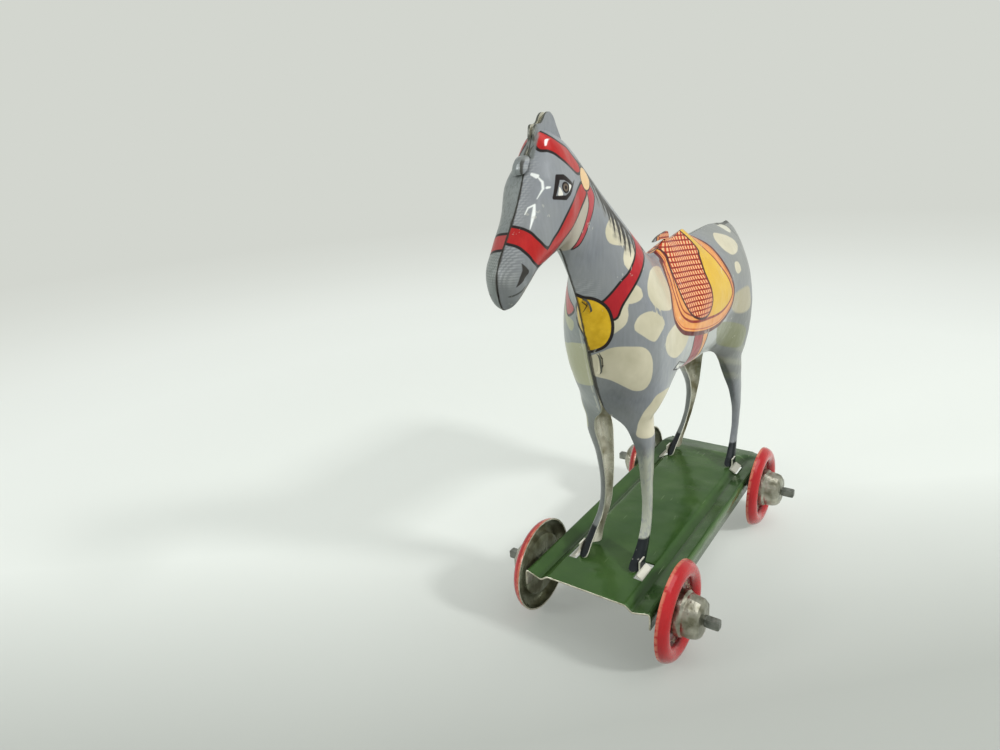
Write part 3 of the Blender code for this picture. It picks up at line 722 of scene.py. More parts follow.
def section(top_y, top_z, low_y, low_z, half_width, widest, low_x, side):
    """One section of a half: out to its widest place, then in to the lower end, lifted along the saddle."""
    end_x = low_x or SEAM_GAP
    lift, crest, breast = (float(np.interp(top_y, *zip(*table))) for table in (SADDLE_RISE, CREST, BREAST))
    points = []
    for row in range(SECTION_ROWS + 1):
        turn = math.pi * row / SECTION_ROWS
        if turn <= math.pi / 2:
            x = SEAM_GAP + (half_width - SEAM_GAP) * math.sin(turn) ** crest
            down = widest * (1 - math.cos(turn))
        else:
            x = end_x + (half_width - end_x) * math.sin(turn) ** breast
            down = widest - (1 - widest) * math.cos(turn)
        y = top_y + (low_y - top_y) * down
        z = top_z + (low_z - top_z) * down + lift * (1.0, RISE_BELOW, 0, 0, 0, 0, 0)[row]
        points.append((side * x, y + PLATFORM_SHIFT, z))
    return points


def leg_ring(height, middle_x, middle_y, length, depth, side):
    """One ring of a leg: a channel that is open towards the other legs."""
    spread = LEG_SPREAD[side]
    length = length * (1 + (spread - 1) / 2)
    inner = middle_x - depth * spread / 2
    outer = middle_x + depth / 2
    shoulder = inner + (outer - inner) * 0.8
    across = ((inner, -0.5), (shoulder, -0.42), (outer, 0.0), (shoulder, 0.42), (inner, 0.5))
    return [(side * x, middle_y + PLATFORM_SHIFT + share * length, height) for x, share in across]


def half_cage(name, side):
    """The outer face of one half as a coarse open cage, with the legs carried on from the body."""
    stations = HEAD_AND_NECK + SHOULDER + BELLY + THIGH + RUMP
    build = bmesh.new()
    rows = [[build.verts.new(Vector(p) * MM) for p in section(*station, side)] for station in stations]
    for row, after in zip(rows, rows[1:]):
        for i in range(SECTION_ROWS):
            build.faces.new((row[i], row[i + 1], after[i + 1], after[i]))
    hind = len(HEAD_AND_NECK) + len(SHOULDER) + len(BELLY)
    for first, leg in ((len(HEAD_AND_NECK), FRONT_LEG), (hind, HIND_LEG)):
        above = [row[-1] for row in rows[first:first + len(SHOULDER)]]
        for ring in leg:
            below = [build.verts.new(Vector(p) * MM) for p in leg_ring(*ring, side)]
            for i in range(len(above) - 1):
                build.faces.new((above[i], above[i + 1], below[i + 1], below[i]))
            above = below
    bmesh.ops.remove_doubles(build, verts=build.verts, dist=0.01 * MM)
    turn_outwards(build, side)
    mesh = mesh_of(build, name)
    mesh.shade_smooth()
    return mesh


# Soft bumps pressed into each half: (y, z, reach along Y, reach along Z, height outwards)
PRESSED = (
    (-34.6, 81.2, 2.4, 1.8, 0.35),
    (-32.5, 76.8, 3.4, 3.0, 0.3),
    (-37.6, 77.6, 2.0, 2.4, -0.25),
    (-43.2, 71.6, 1.6, 1.6, 0.35),
    (-43.4, 71.2, 0.7, 0.8, -0.35),
    (-14.0, 60.0, 5.0, 6.0, 0.3),
    (-10.0, 50.0, 3.0, 4.0, -0.3),
    (30.0, 56.0, 6.0, 6.0, 0.25),
    (-1.0, 60.0, 3.0, 7.0, 0.15),
)
FOREHEAD_BULGE = (-38.6, 82.0, 2.6, 3.2, 0.7)


def press_in(mesh, side):
    """Moves the outer face along X where the dies press a feature into it."""
    bumps = PRESSED if side > 0 else (*PRESSED, FOREHEAD_BULGE)
    for corner in mesh.vertices:
        y, z = corner.co.y / MM, corner.co.z / MM
        rise = sum(high * math.exp(-((y - v) / wide) ** 2 - ((z - w) / tall) ** 2)
                   for v, w, wide, tall, high in bumps)
        rise += 0.06 * noise.noise(Vector((side * 5, y * 0.35, z * 0.35)))
        free = min(1.0, max(0.0, (abs(corner.co.x) / MM - 0.4) / 1.2))
        corner.co.x += side * rise * free * MM


# The ink drawings as (y, z) outlines seen from the side, in the toy's frame
CROWN_STRAP = (
    (-35.9, 88.9), (-35.4, 88.5), (-34.7, 87.9), (-33.9, 87.3), (-32.5, 86.5), (-30.8, 85.9),
    (-29.8, 84.9), (-28.3, 83.6), (-28.6, 82.6), (-30.1, 82.5), (-31.5, 83.1), (-33.0, 83.9),
    (-34.2, 84.6), (-35.1, 85.3), (-35.8, 85.7), (-36.4, 85.9), (-36.2, 87.4),
)
CHEEK_STRAP = (
    (-28.8, 81.2), (-30.1, 81.0), (-33.1, 79.4), (-35.0, 77.8), (-36.7, 75.9), (-38.2, 74.7),
    (-39.6, 73.0), (-38.4, 71.9), (-36.6, 72.6), (-35.6, 73.5), (-34.3, 74.8), (-31.6, 76.5),
    (-29.2, 78.5), (-27.3, 80.0),
)
NOSEBAND = (
    (-44.4, 78.4), (-42.2, 77.5), (-41.4, 76.5), (-40.9, 75.6), (-39.9, 74.6), (-38.7, 73.8),
    (-38.6, 72.4), (-40.6, 72.1), (-42.0, 72.8), (-42.5, 73.6), (-42.9, 74.3), (-43.3, 75.2),
    (-44.4, 76.2), (-46.4, 76.8),
)
THROAT_LASH = (
    (-26.0, 81.0), (-24.4, 79.4), (-25.2, 77.8), (-26.7, 75.8), (-27.7, 73.8), (-28.4, 72.7),
    (-29.5, 72.3), (-28.9, 73.4), (-28.5, 74.5), (-27.8, 76.4), (-27.0, 78.4), (-27.2, 80.2),
)
THROAT_PALE = (
    (-27.4, 79.8), (-29.2, 78.5), (-31.6, 76.5), (-34.3, 74.8), (-35.6, 73.4), (-33.0, 71.6),
    (-29.6, 72.4), (-28.8, 73.8), (-28.0, 76.2), (-27.1, 78.4),
)
ROSETTE = (
    (-27.7, 83.2), (-25.6, 82.8), (-24.8, 81.4), (-26.1, 80.2), (-27.7, 80.1), (-28.8, 81.0),
    (-29.0, 82.2),
)
BREAST_STRAP = (
    (-13.2, 73.2), (-14.6, 70.9), (-16.3, 69.4), (-18.9, 67.4), (-20.9, 66.1), (-23.1, 63.8),
    (-24.4, 62.4), (-22.0, 60.6), (-20.9, 62.8), (-18.6, 65.2), (-14.6, 67.8), (-12.4, 69.0),
    (-11.0, 71.4),
)
MEDAL = {
    1: ((-27.5, 64.6), (-25.3, 64.5), (-23.9, 63.9), (-22.8, 62.6), (-22.3, 60.9), (-22.1, 58.9),
        (-22.2, 57.3), (-22.6, 55.9), (-23.6, 55.2), (-27.5, 55.0)),
    -1: ((-28.5, 64.2), (-25.7, 63.6), (-24.6, 61.8), (-24.1, 59.8), (-24.0, 58.1), (-23.6, 56.9),
        (-24.2, 55.6), (-28.5, 55.2)),
}
SADDLE_CLOTH = (
    (1.7, 66.4), (-0.5, 65.4), (-3.0, 64.3), (-4.6, 63.0), (-5.7, 61.4), (-6.7, 60.0), (-7.5, 58.2),
    (-7.0, 56.6), (-5.8, 55.2), (-4.2, 54.1), (-1.9, 53.3), (0.8, 52.6), (5.0, 51.7), (9.3, 51.1),
    (14.4, 50.9), (18.6, 51.8), (21.4, 53.6), (22.3, 56.0), (21.3, 58.9), (20.2, 61.4), (19.6, 63.5),
    (19.2, 66.3), (16.4, 72.0), (4.4, 72.0),
)
CLOTH_INSIDE = (
    (2.8, 67.2), (1.1, 65.5), (-1.1, 64.2), (-2.8, 62.6), (-3.8, 61.0), (-4.1, 59.0), (-3.6, 57.2),
    (-2.0, 55.9), (0.9, 54.9), (8.4, 53.9), (14.3, 53.5), (18.6, 54.2), (20.9, 55.7), (20.1, 57.8),
    (19.0, 59.6), (17.7, 61.4), (16.8, 63.2), (16.2, 65.4), (14.8, 72.0), (5.2, 72.0),
)
SEAT_FLAP = (
    (3.5, 66.7), (1.8, 65.1), (0.6, 64.1), (-0.7, 62.8), (-1.4, 61.2), (-1.6, 59.7), (-1.2, 58.0),
    (0.0, 56.4), (1.5, 55.4), (3.5, 54.8), (6.0, 54.7), (7.9, 55.5), (9.1, 57.0), (9.3, 58.8),
    (9.2, 60.3), (9.5, 61.8), (10.3, 63.1), (11.7, 64.7), (13.2, 66.2), (13.8, 72.0), (4.6, 72.0),
)
GIRTH = (
    (1.2, 56.0), (0.4, 53.5), (0.2, 52.0), (0.7, 50.2), (0.9, 49.0), (1.0, 47.5), (0.6, 46.4),
    (0.4, 43.0), (7.5, 43.0), (8.2, 46.0), (8.2, 48.0), (8.1, 50.6), (7.8, 52.2), (7.4, 53.9),
    (7.4, 56.0),
)
GIRTH_STRAP = (
    (-2.0, 56.8), (-2.0, 42.0), (5.2, 42.0), (6.2, 45.4), (6.5, 47.5), (5.7, 49.9), (5.1, 51.7),
    (4.8, 54.3), (4.7, 56.8),
)
TAIL_BARE = (
    (34.0, 69.0), (33.8, 66.8), (35.8, 65.4), (38.4, 65.6), (39.4, 66.6), (38.4, 69.0),
)
# Dapples as outlines; the chest has a different one on each sheet
DAPPLES = (
    ((-22.4, 74.2), (-22.0, 72.3), (-20.0, 71.5), (-17.4, 71.3), (-16.9, 72.6), (-18.1, 74.4),
        (-20.0, 75.6)),
    ((-19.5, 69.2), (-19.3, 68.2), (-18.2, 67.2), (-15.0, 67.2), (-14.8, 70.0), (-16.6, 71.2),
        (-18.6, 70.6)),
    ((-14.4, 65.8), (-12.7, 66.5), (-9.2, 66.4), (-3.9, 65.3), (-4.7, 64.3), (-5.3, 62.6), (-6.7, 60.6),
        (-8.4, 59.3), (-13.5, 60.4), (-15.5, 61.8), (-16.2, 63.2), (-15.7, 64.6)),
    ((-18.3, 65.3), (-17.3, 64.3), (-17.6, 63.2), (-19.2, 62.7), (-20.6, 63.0), (-20.4, 65.0)),
    ((-22.1, 60.7), (-20.6, 62.7), (-20.3, 61.4), (-20.6, 59.9), (-21.3, 59.0), (-22.4, 58.2),
        (-23.4, 60.0)),
    ((-19.5, 59.7), (-18.6, 60.7), (-16.6, 60.9), (-14.5, 59.9), (-12.8, 58.2), (-14.5, 57.0),
        (-15.9, 56.0), (-17.0, 56.3), (-18.4, 57.4), (-19.6, 58.6)),
    ((-8.8, 56.4), (-5.7, 56.2), (-2.0, 54.2), (-3.6, 52.0), (-6.7, 50.9), (-8.6, 51.0), (-11.3, 52.5),
        (-12.8, 54.3), (-12.0, 55.9)),
    ((-13.0, 46.0), (-14.4, 44.6), (-15.3, 42.9), (-15.4, 40.4), (-14.6, 38.0), (-10.0, 37.6),
        (-7.0, 40.0), (-8.0, 45.4)),
    ((26.4, 66.6), (28.6, 66.2), (31.6, 65.3), (34.3, 64.0), (34.2, 62.9), (30.8, 62.3), (26.7, 62.3),
        (24.7, 63.0), (23.4, 64.1), (23.8, 65.6)),
    ((25.5, 60.9), (28.0, 60.6), (28.6, 59.0), (26.0, 58.6), (24.6, 59.6)),
)
CHEST_DAPPLE = {
    1: ((-22.9, 53.9), (-22.4, 55.4), (-21.6, 56.1), (-19.7, 55.9), (-18.1, 55.4), (-16.8, 53.9),
        (-16.0, 51.6), (-15.7, 49.3), (-16.3, 47.8), (-17.8, 47.8), (-19.3, 48.9), (-20.7, 50.2),
        (-21.9, 51.2)),
    -1: ((-20.3, 55.4), (-22.1, 56.2), (-24.1, 56.6), (-23.6, 54.0), (-22.3, 51.0), (-20.5, 48.6),
        (-17.6, 48.2), (-16.4, 51.4), (-18.0, 54.6)),
}
THIGH_TAN = (
    (21.4, 52.5), (22.0, 55.0), (31.1, 55.0), (34.4, 53.4), (34.5, 49.8), (27.4, 50.0),
)
THIGH_OLIVE = (
    (13.6, 51.2), (24.2, 48.8), (32.4, 45.4), (32.2, 41.8), (25.5, 42.9), (16.7, 47.0),
)
# How light the grey ink is: (y, z, reach, lightness)
SHADES = (
    (-34.0, 78.0, 5.0, 0.5), (-39.0, 82.0, 3.0, 0.56), (-42.5, 72.5, 3.5, 0.22),
    (-27.0, 70.0, 5.0, 0.34), (-22.0, 66.0, 4.0, 0.38), (-19.0, 76.5, 3.0, 0.6), (-12.0, 66.0, 5.0, 0.5),
    (-14.0, 54.0, 4.0, 0.46), (-18.0, 45.0, 4.0, 0.26), (-11.0, 46.0, 2.5, 0.75), (0.0, 50.0, 4.0, 0.85),
    (12.0, 48.0, 4.0, 0.9), (22.0, 66.0, 5.0, 0.46), (34.0, 64.0, 5.0, 0.34), (36.0, 55.0, 4.0, 0.32),
    (27.0, 57.0, 4.0, 0.36), (31.0, 48.0, 2.2, 0.16), (31.0, 43.0, 2.0, 0.14), (34.0, 38.0, 3.0, 0.24),
    (37.0, 30.0, 4.0, 0.26), (35.0, 20.0, 4.0, 0.2), (-10.5, 34.0, 3.0, 0.4), (-10.0, 26.0, 3.0, 0.6),
    (-11.0, 20.0, 3.0, 0.5),
)
# Pen paths too fine for the outlines, as (y, z, half width) from one end to the other
MANE_LOCKS = (
    ((-28.4, 84.0, 0.16), (-24.6, 81.9, 0.3), (-20.8, 78.3, 0.42), (-16.0, 73.4, 0.4),
        (-14.0, 71.0, 0.2)),
    ((-24.4, 81.4, 0.34), (-23.3, 78.0, 0.04)),
    ((-22.8, 79.9, 0.4), (-21.9, 78.2, 0.4), (-21.6, 76.2, 0.03)),
    ((-21.2, 78.3, 0.4), (-20.5, 76.8, 0.42), (-20.6, 74.7, 0.03)),
    ((-19.8, 77.0, 0.4), (-19.5, 75.4, 0.46), (-20.1, 73.0, 0.03)),
    ((-18.4, 75.5, 0.4), (-18.4, 73.9, 0.46), (-19.1, 71.6, 0.03)),
    ((-17.2, 74.3, 0.36), (-17.5, 72.6, 0.44), (-18.5, 70.4, 0.03)),
    ((-16.1, 73.0, 0.34), (-16.6, 71.5, 0.38), (-17.6, 69.4, 0.03)),
    ((-15.0, 72.0, 0.36), (-16.4, 68.9, 0.03)),
    ((-11.4, 69.7, 0.34), (-6.0, 67.9, 0.26), (-1.6, 66.8, 0.03)),
)
EYE_INK = (
    ((-35.9, 82.5, 0.34), (-36.5, 81.5, 0.28), (-37.2, 80.1, 0.22), (-35.1, 79.9, 0.3),
        (-34.3, 80.3, 0.26), (-33.2, 81.2, 0.24), (-32.0, 81.8, 0.06)),
    ((-35.9, 82.5, 0.34), (-34.9, 82.4, 0.36), (-33.4, 81.5, 0.26)),
)
EYE_WHITES = (
    ((-36.1, 81.2, 0.1), (-36.1, 80.5, 0.42)),
    ((-33.95, 81.2, 0.3), (-34.3, 80.7, 0.1)),
)
IRIS = (-35.0, 81.15)
NOSTRIL = (
    ((-43.7, 72.9, 0.08), (-43.55, 71.9, 0.48), (-44.0, 71.2, 0.4), (-44.7, 70.3, 0.05)),
)
MOUTH = (
    ((-45.1, 69.1, 0.1), (-43.9, 69.6, 0.13), (-43.4, 70.1, 0.05)),
)
# The painted highlights lie on the front of the head, so they are given as (x, z, half width)
PAINTED_HIGHLIGHTS = (
    ((1.03, 83.1, 0.14), (1.72, 82.8, 0.22)),
    ((1.86, 82.7, 0.04), (2.44, 82.1, 0.1), (2.64, 81.3, 0.1), (2.25, 80.2, 0.02)),
    ((3.0, 81.4, 0.13), (3.14, 81.4, 0.1)),
    ((1.33, 78.5, 0.05), (1.5, 79.2, 0.08), (2.13, 79.5, 0.1), (2.3, 78.4, 0.17), (2.4, 76.8, 0.02)),
    ((1.6, 87.0, 0.09), (1.75, 86.4, 0.06)),
)
# The crack is thinner in its middle, with a step at both ends of that stretch
CHEST_CRACK = (
    ((-22.5, 55.1, 0.02), (-22.1, 54.1, 0.05)),
    ((-22.1, 54.1, 0.03), (-21.8, 52.9, 0.03)),
    ((-21.8, 52.9, 0.05), (-21.6, 51.4, 0.01)),
    ((-25.5, 63.9, 0.06), (-24.9, 63.2, 0.06), (-25.1, 62.2, 0.03)),
)
BUCKLE = (
    ((-0.1, 46.5, 0.12), (-8.6, 48.9, 0.12), (-6.4, 49.7, 0.12), (0.4, 47.2, 0.12)),
)
BUCKLE_FILL = (
    ((-7.2, 49.1, 0.3), (-0.4, 46.9, 0.2)),
)
TAIL_EDGE = (
    ((34.6, 67.3, 0.22), (36.4, 67.7, 0.3), (39.0, 66.6, 0.3), (39.6, 63.4, 0.1)),
)


def smooth_loop(outline, steps=6):
    """The outline's points with a smooth curve run through them."""
    line = []
    count = len(outline)
    spots = [np.array(spot) for spot in outline]
    for i in range(count):
        a, b, c, d = (spots[(i + k) % count] for k in (-1, 0, 1, 2))
        for step in range(steps):
            t = step / steps
            bend = (2 * a - 5 * b + 4 * c - d) * t**2 + (3 * b - a - 3 * c + d) * t**3
            line.append(0.5 * (2 * b + (c - a) * t + bend))
    return np.array(line)


def inside(spots, loop):
    """Which (y, z) spots lie inside the closed loop."""
    held = np.zeros(len(spots), bool)
    for (y1, z1), (y2, z2) in zip(loop, np.roll(loop, -1, axis=0)):
        crosses = (z1 > spots[:, 1]) != (z2 > spots[:, 1])
        if z1 != z2:
            held ^= crosses & (spots[:, 0] < (y2 - y1) * (spots[:, 1] - z1) / (z2 - z1) + y1)
    return held


class Litho:
    """Draws ink shapes on one half: each is kept as the distance in millimetres from its outline."""

    def __init__(self, mesh, skin, side):
        self.mesh = mesh
        self.skin = skin
        self.side = side
        flat = np.zeros(3 * len(mesh.vertices))
        mesh.vertices.foreach_get("co", flat)
        self.spots = flat.reshape(-1, 3) / MM

    def on_sheet(self, line):
        """The (y, z) points laid on the outer face."""
        placed = []
        for y, z in line:
            start = Vector((self.side * 30, y, z)) * MM
            hit = self.skin.ray_cast(start, Vector((-self.side, 0, 0)))[0]
            placed.append((hit.x / MM if hit else 0.0, y, z))
        return np.array(placed)

    def shape(self, outline, lift=0.0):
        """The distance from a closed shape's outline on the sheet, below zero inside it."""
        loop = smooth_loop(outline) + np.array((0.0, lift))
        ends = self.on_sheet(loop)
        far = np.full(len(self.spots), 3.0)
        low, high = ends.min(axis=0) - 3, ends.max(axis=0) + 3
        close = np.where(((self.spots > low) & (self.spots < high)).all(axis=1))[0]
        points = self.spots[close]
        best = np.full(len(close), 9.0)
        for start, end in zip(ends, np.roll(ends, -1, axis=0)):
            run = end - start
            share = np.clip(((points - start) @ run) / max(run @ run, 1e-9), 0, 1)
            best = np.minimum(best, np.linalg.norm(points - start - share[:, None] * run, axis=1))
        far[close] = np.minimum(best, 3.0)
        return np.where(inside(self.spots[:, 1:], loop), -1.0, 1.0) * far

    def keep(self, name, distance):
        """Stores the drawing on the mesh under its name."""
        field = self.mesh.attributes.new(name, "FLOAT", "POINT")
        field.data.foreach_set("value", np.clip(distance, -3, 3).astype(np.float32))


def union(shapes):
    return np.minimum.reduce(list(shapes))


BRIDLE_SHIFT = {1: 0.0, -1: -1.3}


def print_half(mesh, skin, side):
    """All the outlined ink of one half; the bridle sits a little lower on the right sheet."""
    ink = Litho(mesh, skin, side)
    lift = BRIDLE_SHIFT[side]
    ink.keep("strap", union(ink.shape(outline, lift) for outline in (CROWN_STRAP, CHEEK_STRAP, NOSEBAND)))
    drawings = {
        "throat": THROAT_LASH, "throat_pale": THROAT_PALE, "rosette": ROSETTE, "breast": BREAST_STRAP,
        "medal": MEDAL[side], "cloth": SADDLE_CLOTH, "cloth_inside": CLOTH_INSIDE, "seat": SEAT_FLAP,
        "girth": GIRTH, "girth_strap": GIRTH_STRAP, "tail_bare": TAIL_BARE, "thigh_tan": THIGH_TAN,
        "thigh_olive": THIGH_OLIVE,
    }
    for name, outline in drawings.items():
        ink.keep(name, ink.shape(outline))
    ink.keep("dapple", union(ink.shape(outline) for outline in (*DAPPLES, CHEST_DAPPLE[side])))
    weight, total = 0.06, 0.06 * 0.48
    for y, z, reach, light in SHADES:
        near = np.exp(-((ink.spots[:, 1] - y) ** 2 + (ink.spots[:, 2] - z) ** 2) / (2 * reach**2))
        weight, total = weight + near, total + near * light
    ink.keep("shade", total / weight)


# The net on the seat: how far apart its rows and columns are, and the height from which the columns bow
NET_ROW = 0.84
NET_COLUMN = 0.74
NET_BOW_FROM = 61.0
HOOF_TOP = 17.6


def litho_finish():
    """Glossy printed tin: grey ink in soft shades with cream dapples, and the drawings laid over it."""
    made, shader, place = new_lacquer("printed_tin", 0.14, 0.06, 0.26)

    def drawn(name):
        return place.node("ShaderNodeAttribute", {"attribute_name": name}, {}, 2)

    def strokes(paths, spot=None):
        """The distance from the nearest of the pen paths, below zero under the ink."""
        spot = spot or side_spot
        nearest = None
        for path in paths:
            for (*start, wide), (*end, tip) in zip(path, path[1:]):
                run = Vector((0, end[0] - start[0], end[1] - start[1]))
                away = spot.vector("SUBTRACT", (0, *start))
                share = away.vector("DOT_PRODUCT", run / run.length_squared, 1)
                share = share.node("ShaderNodeClamp", {}, {0: share})
                foot = share.node("ShaderNodeVectorMath", {"operation": "SCALE"}, {0: run, "Scale": share})
                edge = away.vector("SUBTRACT", foot).vector("LENGTH", None, 1)
                edge = edge - (share * (tip - wide) + wide)
                nearest = nearest.math("MINIMUM", nearest, edge) if nearest else edge
        return nearest

    side_spot = place.stretched(0, 1 / MM, 1 / MM)
    height = place.axis("Z") / MM
    front_spot = place.node("ShaderNodeCombineXYZ", {}, {1: place.axis("X") / MM, 2: height})
    along = place.axis("Y") / MM
    across = place.math("ABSOLUTE", place.axis("X") / MM)
    left = place.axis("X").above(0.0, 0.02 * MM)
    black = paint(34, 28, 28)
    streak = place.stretched(1, 1, 0.1).clouds(0.45, 3.0)
    cloud = place.clouds(6.0, 3.0)
    wear = place.clouds(1.4, 4.0)

    # Grey ink: lavender on the upper body, greener on the right sheet, with fine vertical streaks
    shade = drawn("shade") + (streak - 0.5) * 0.26 + (cloud - 0.5) * 0.16
    colour = shade.above(0.3, 0.6).mix(paint(94, 98, 102), paint(143, 147, 154))
    colour = shade.above(0.78, 0.4).mix(colour, paint(198, 200, 196))
    colour = ((1 - left) * 0.45).mix(colour, paint(134, 144, 138))
    colour = (cloud.above(0.5, 0.4) * 0.25).mix(colour, paint(148, 150, 140))
    rear = along.above(22.0, 6.0) * height.above(56.0, 6.0)
    colour = (rear * 0.4).mix(colour, paint(140, 141, 130))
    # Painted shade: the right sheet's legs are darkened.
    right_leg_shade = (1 - left) * height.below(42.0, 5.0)
    colour = (right_leg_shade * 0.5).mix(colour, paint(92, 95, 90))
    thigh = along.above(19.0, 2.0) * height.below(51.5, 1.0) * height.above(33.0, 4.0)
    bands = (height + along * 0.35 + wear) / 3.4
    bands = bands.math("FRACT", bands).near(0.5, 0.2, 0.2) * height.below(42.0, 1.0)
    colour = (thigh * 0.8).mix(colour, (bands * 0.7).mix(paint(104, 106, 102), paint(136, 138, 118)))
    colour = (drawn("thigh_olive").below(0.0, 0.3) * 0.85).mix(colour, paint(118, 121, 84))

    # Halftone dots in the highlights along the seam
    screen = place.stretched(1 / MM, 1 / MM, 1 / MM)
    rows = screen.vector("DOT_PRODUCT", (7.0, -7.0, 10.0), 1)
    columns = screen.vector("DOT_PRODUCT", (7.0, -7.0, -10.0), 1)
    dots = (rows.math("SINE", rows) * columns.math("SINE", columns)).above(0.1, 0.5)
    nose = across.below(1.1, 1.2) * height.above(76.5, 1.0) * along.below(-36.6, 1.0) * left
    chest = across.below(2.4, 1.6) * height.near(65.4, 1.5, 2.0) * along.below(-22.0, 1.0)
    muzzle = height.below(75.5, 1.0) * height.above(70.6, 1.6) * along.below(-42.6, 0.8)
    muzzle = muzzle * across.below(2.4, 1.0)
    tinted = (1 - drawn("strap").below(0.2)) * (1 - drawn("medal").below(0.3))
    tinted = (nose + chest * 0.7 + muzzle) * tinted
    colour = (tinted * dots * 0.22).mix(colour, paint(206, 210, 206))
    hatching = place.stretched(2.2, 2.2, 0.12).clouds(0.5, 2.0).above(0.56, 0.12)
    colour = ((1 - left) * hatching * along.below(-34.0, 2.0) * 0.35).mix(colour, paint(92, 96, 94))

    cream = cloud.above(0.5, 0.4).mix(paint(184, 178, 153), paint(208, 201, 178))
    cream = ((1 - left) * 0.8).mix(cream, paint(158, 162, 130))
    colour = drawn("thigh_tan").below(0.0, 0.5).mix(colour, paint(166, 158, 132))
    colour = drawn("dapple").below(0.0, 0.14).mix(colour, cream)
    pale_leg = left * along.below(0.0, 1.0) * height.below(34.0, 3.0)
    pale_leg = pale_leg * (streak + wear * 0.7).above(0.72, 0.3)
    colour = (pale_leg * 0.8).mix(colour, paint(174, 178, 160))

    # The mane: dark tapering locks over a grey wash that thins out towards the neck
    locks = strokes(MANE_LOCKS)
    lean = (along * 0.5 + height) / 1.1 + wear
    strands = lean.math("FRACT", lean).near(0.5, 0.3, 0.3)
    wash = (locks + wear).below(0.95, 0.6) * height.above(70.0, 1.0)
    colour = (wash * (strands * 0.3 + 0.3)).mix(colour, paint(112, 110, 104))
    colour = locks.below(0.0, 0.1).mix(colour, paint(44, 42, 40))

    # Bridle, breast strap and medallion
    colour = drawn("throat_pale").below(0.0, 0.3).mix(colour, paint(176, 168, 154))
    red = height.above(71.5, 1.0).mix(paint(164, 26, 40), paint(168, 28, 30))
    red = (streak.above(0.5, 0.5) * 0.25).mix(red, paint(200, 52, 40))
    red = ((1 - left) * 0.5).mix(red, paint(176, 92, 90))
    pink = cloud.above(0.5, 0.4).mix(paint(166, 34, 50), paint(184, 70, 76))
    gold = wear.above(0.5, 0.5).mix(paint(200, 156, 16), paint(228, 188, 44))
    gold = ((1 - left) * 0.8).mix(gold, paint(206, 184, 104))
    peach = wear.above(0.5, 0.5).mix(paint(208, 134, 66), paint(226, 162, 96))
    layers = (
        ("throat", 0.11, pink), ("strap", 0.19, red), ("breast", 0.19, red),
        ("rosette", 0.12, paint(226, 190, 140)), ("medal", 0.26, gold),
    )
    for name, outline, fill in layers:
        shape = drawn(name)
        colour = shape.below(0.0, 0.12).mix(colour, fill)
        colour = shape.near(0.0, outline, 0.1).mix(colour, black)
    girth = drawn("girth")
    split = drawn("girth_strap")
    colour = girth.below(0.0).mix(colour, split.below(0.0).mix(peach, paint(148, 28, 38)))
    colour = girth.near(0.0, 0.2).mix(colour, black)
    colour = (girth.below(0.0) * split.near(0.0, 0.18)).mix(colour, black)
    colour = (strokes(BUCKLE_FILL).below(0.0) * left).mix(colour, paint(214, 214, 206))
    colour = (strokes(BUCKLE).below(0.0, 0.1) * left).mix(colour, black)

    # Saddle cloth with its two bands, and the netted seat
    cloth = drawn("cloth")
    inner = drawn("cloth_inside")
    seat = drawn("seat")
    yellow = cloud.above(0.5, 0.6).mix(paint(204, 162, 40), paint(218, 182, 70))
    yellow = (along + height * 0.3).above(24.4, 4.0).mix(peach, yellow)
    colour = cloth.below(0.0).mix(colour, peach)
    colour = inner.below(0.0).mix(colour, yellow)
    colour = inner.near(0.0, 0.24).mix(colour, paint(132, 34, 24))
    colour = (inner.near(-1.1, 0.16) * along.below(4.0, 2.0)).mix(colour, paint(140, 40, 26))
    colour = cloth.near(-0.95, 0.1).mix(colour, paint(178, 74, 40))
    colour = cloth.near(-0.16, 0.4).mix(colour, paint(88, 24, 24))
    bow = height.math("MAXIMUM", height - NET_BOW_FROM, 0.0)
    row = (height + along * 0.09) / NET_ROW
    column = (along - bow * bow * 0.125) / NET_COLUMN
    tick = column.math("FRACT", column).near(0.5, 0.25, 0.14)
    check = tick.mix(paint(178, 52, 22), paint(226, 180, 130))
    check = row.math("FRACT", row).near(0.5, 0.16, 0.14).mix(check, paint(134, 32, 22))
    colour = seat.below(0.0).mix(colour, check)
    colour = seat.near(0.0, 0.24).mix(colour, paint(70, 24, 22))

    # Eye, nostril, mouth, and small white highlights painted on the pressed bumps
    iris = side_spot.vector("SUBTRACT", (0, *IRIS)).vector("LENGTH", None, 1)
    colour = strokes(EYE_WHITES).below(0.0, 0.08).mix(colour, paint(226, 224, 216))
    colour = iris.below(0.62, 0.08).mix(colour, paint(104, 92, 80))
    colour = iris.near(0.6, 0.12, 0.08).mix(colour, black)
    colour = iris.below(0.24, 0.08).mix(colour, black)
    colour = strokes(EYE_INK).below(0.0, 0.08).mix(colour, black)
    colour = strokes(NOSTRIL).below(0.0, 0.1).mix(colour, paint(58, 56, 54))
    colour = strokes(MOUTH).below(0.0, 0.1).mix(colour, paint(74, 76, 74))
    colour = (strokes(CHEST_CRACK).below(0.0, 0.06) * left).mix(colour, black)
    # Painted highlights: white strokes where a lamp would glint on the bumps of the head and on the crown
    # strap.
    painted_highlight = strokes(PAINTED_HIGHLIGHTS, front_spot).below(0.02, 0.12) * along.below(-34.0, 0.2)
    colour = (painted_highlight * 0.9).mix(colour, paint(242, 245, 242))
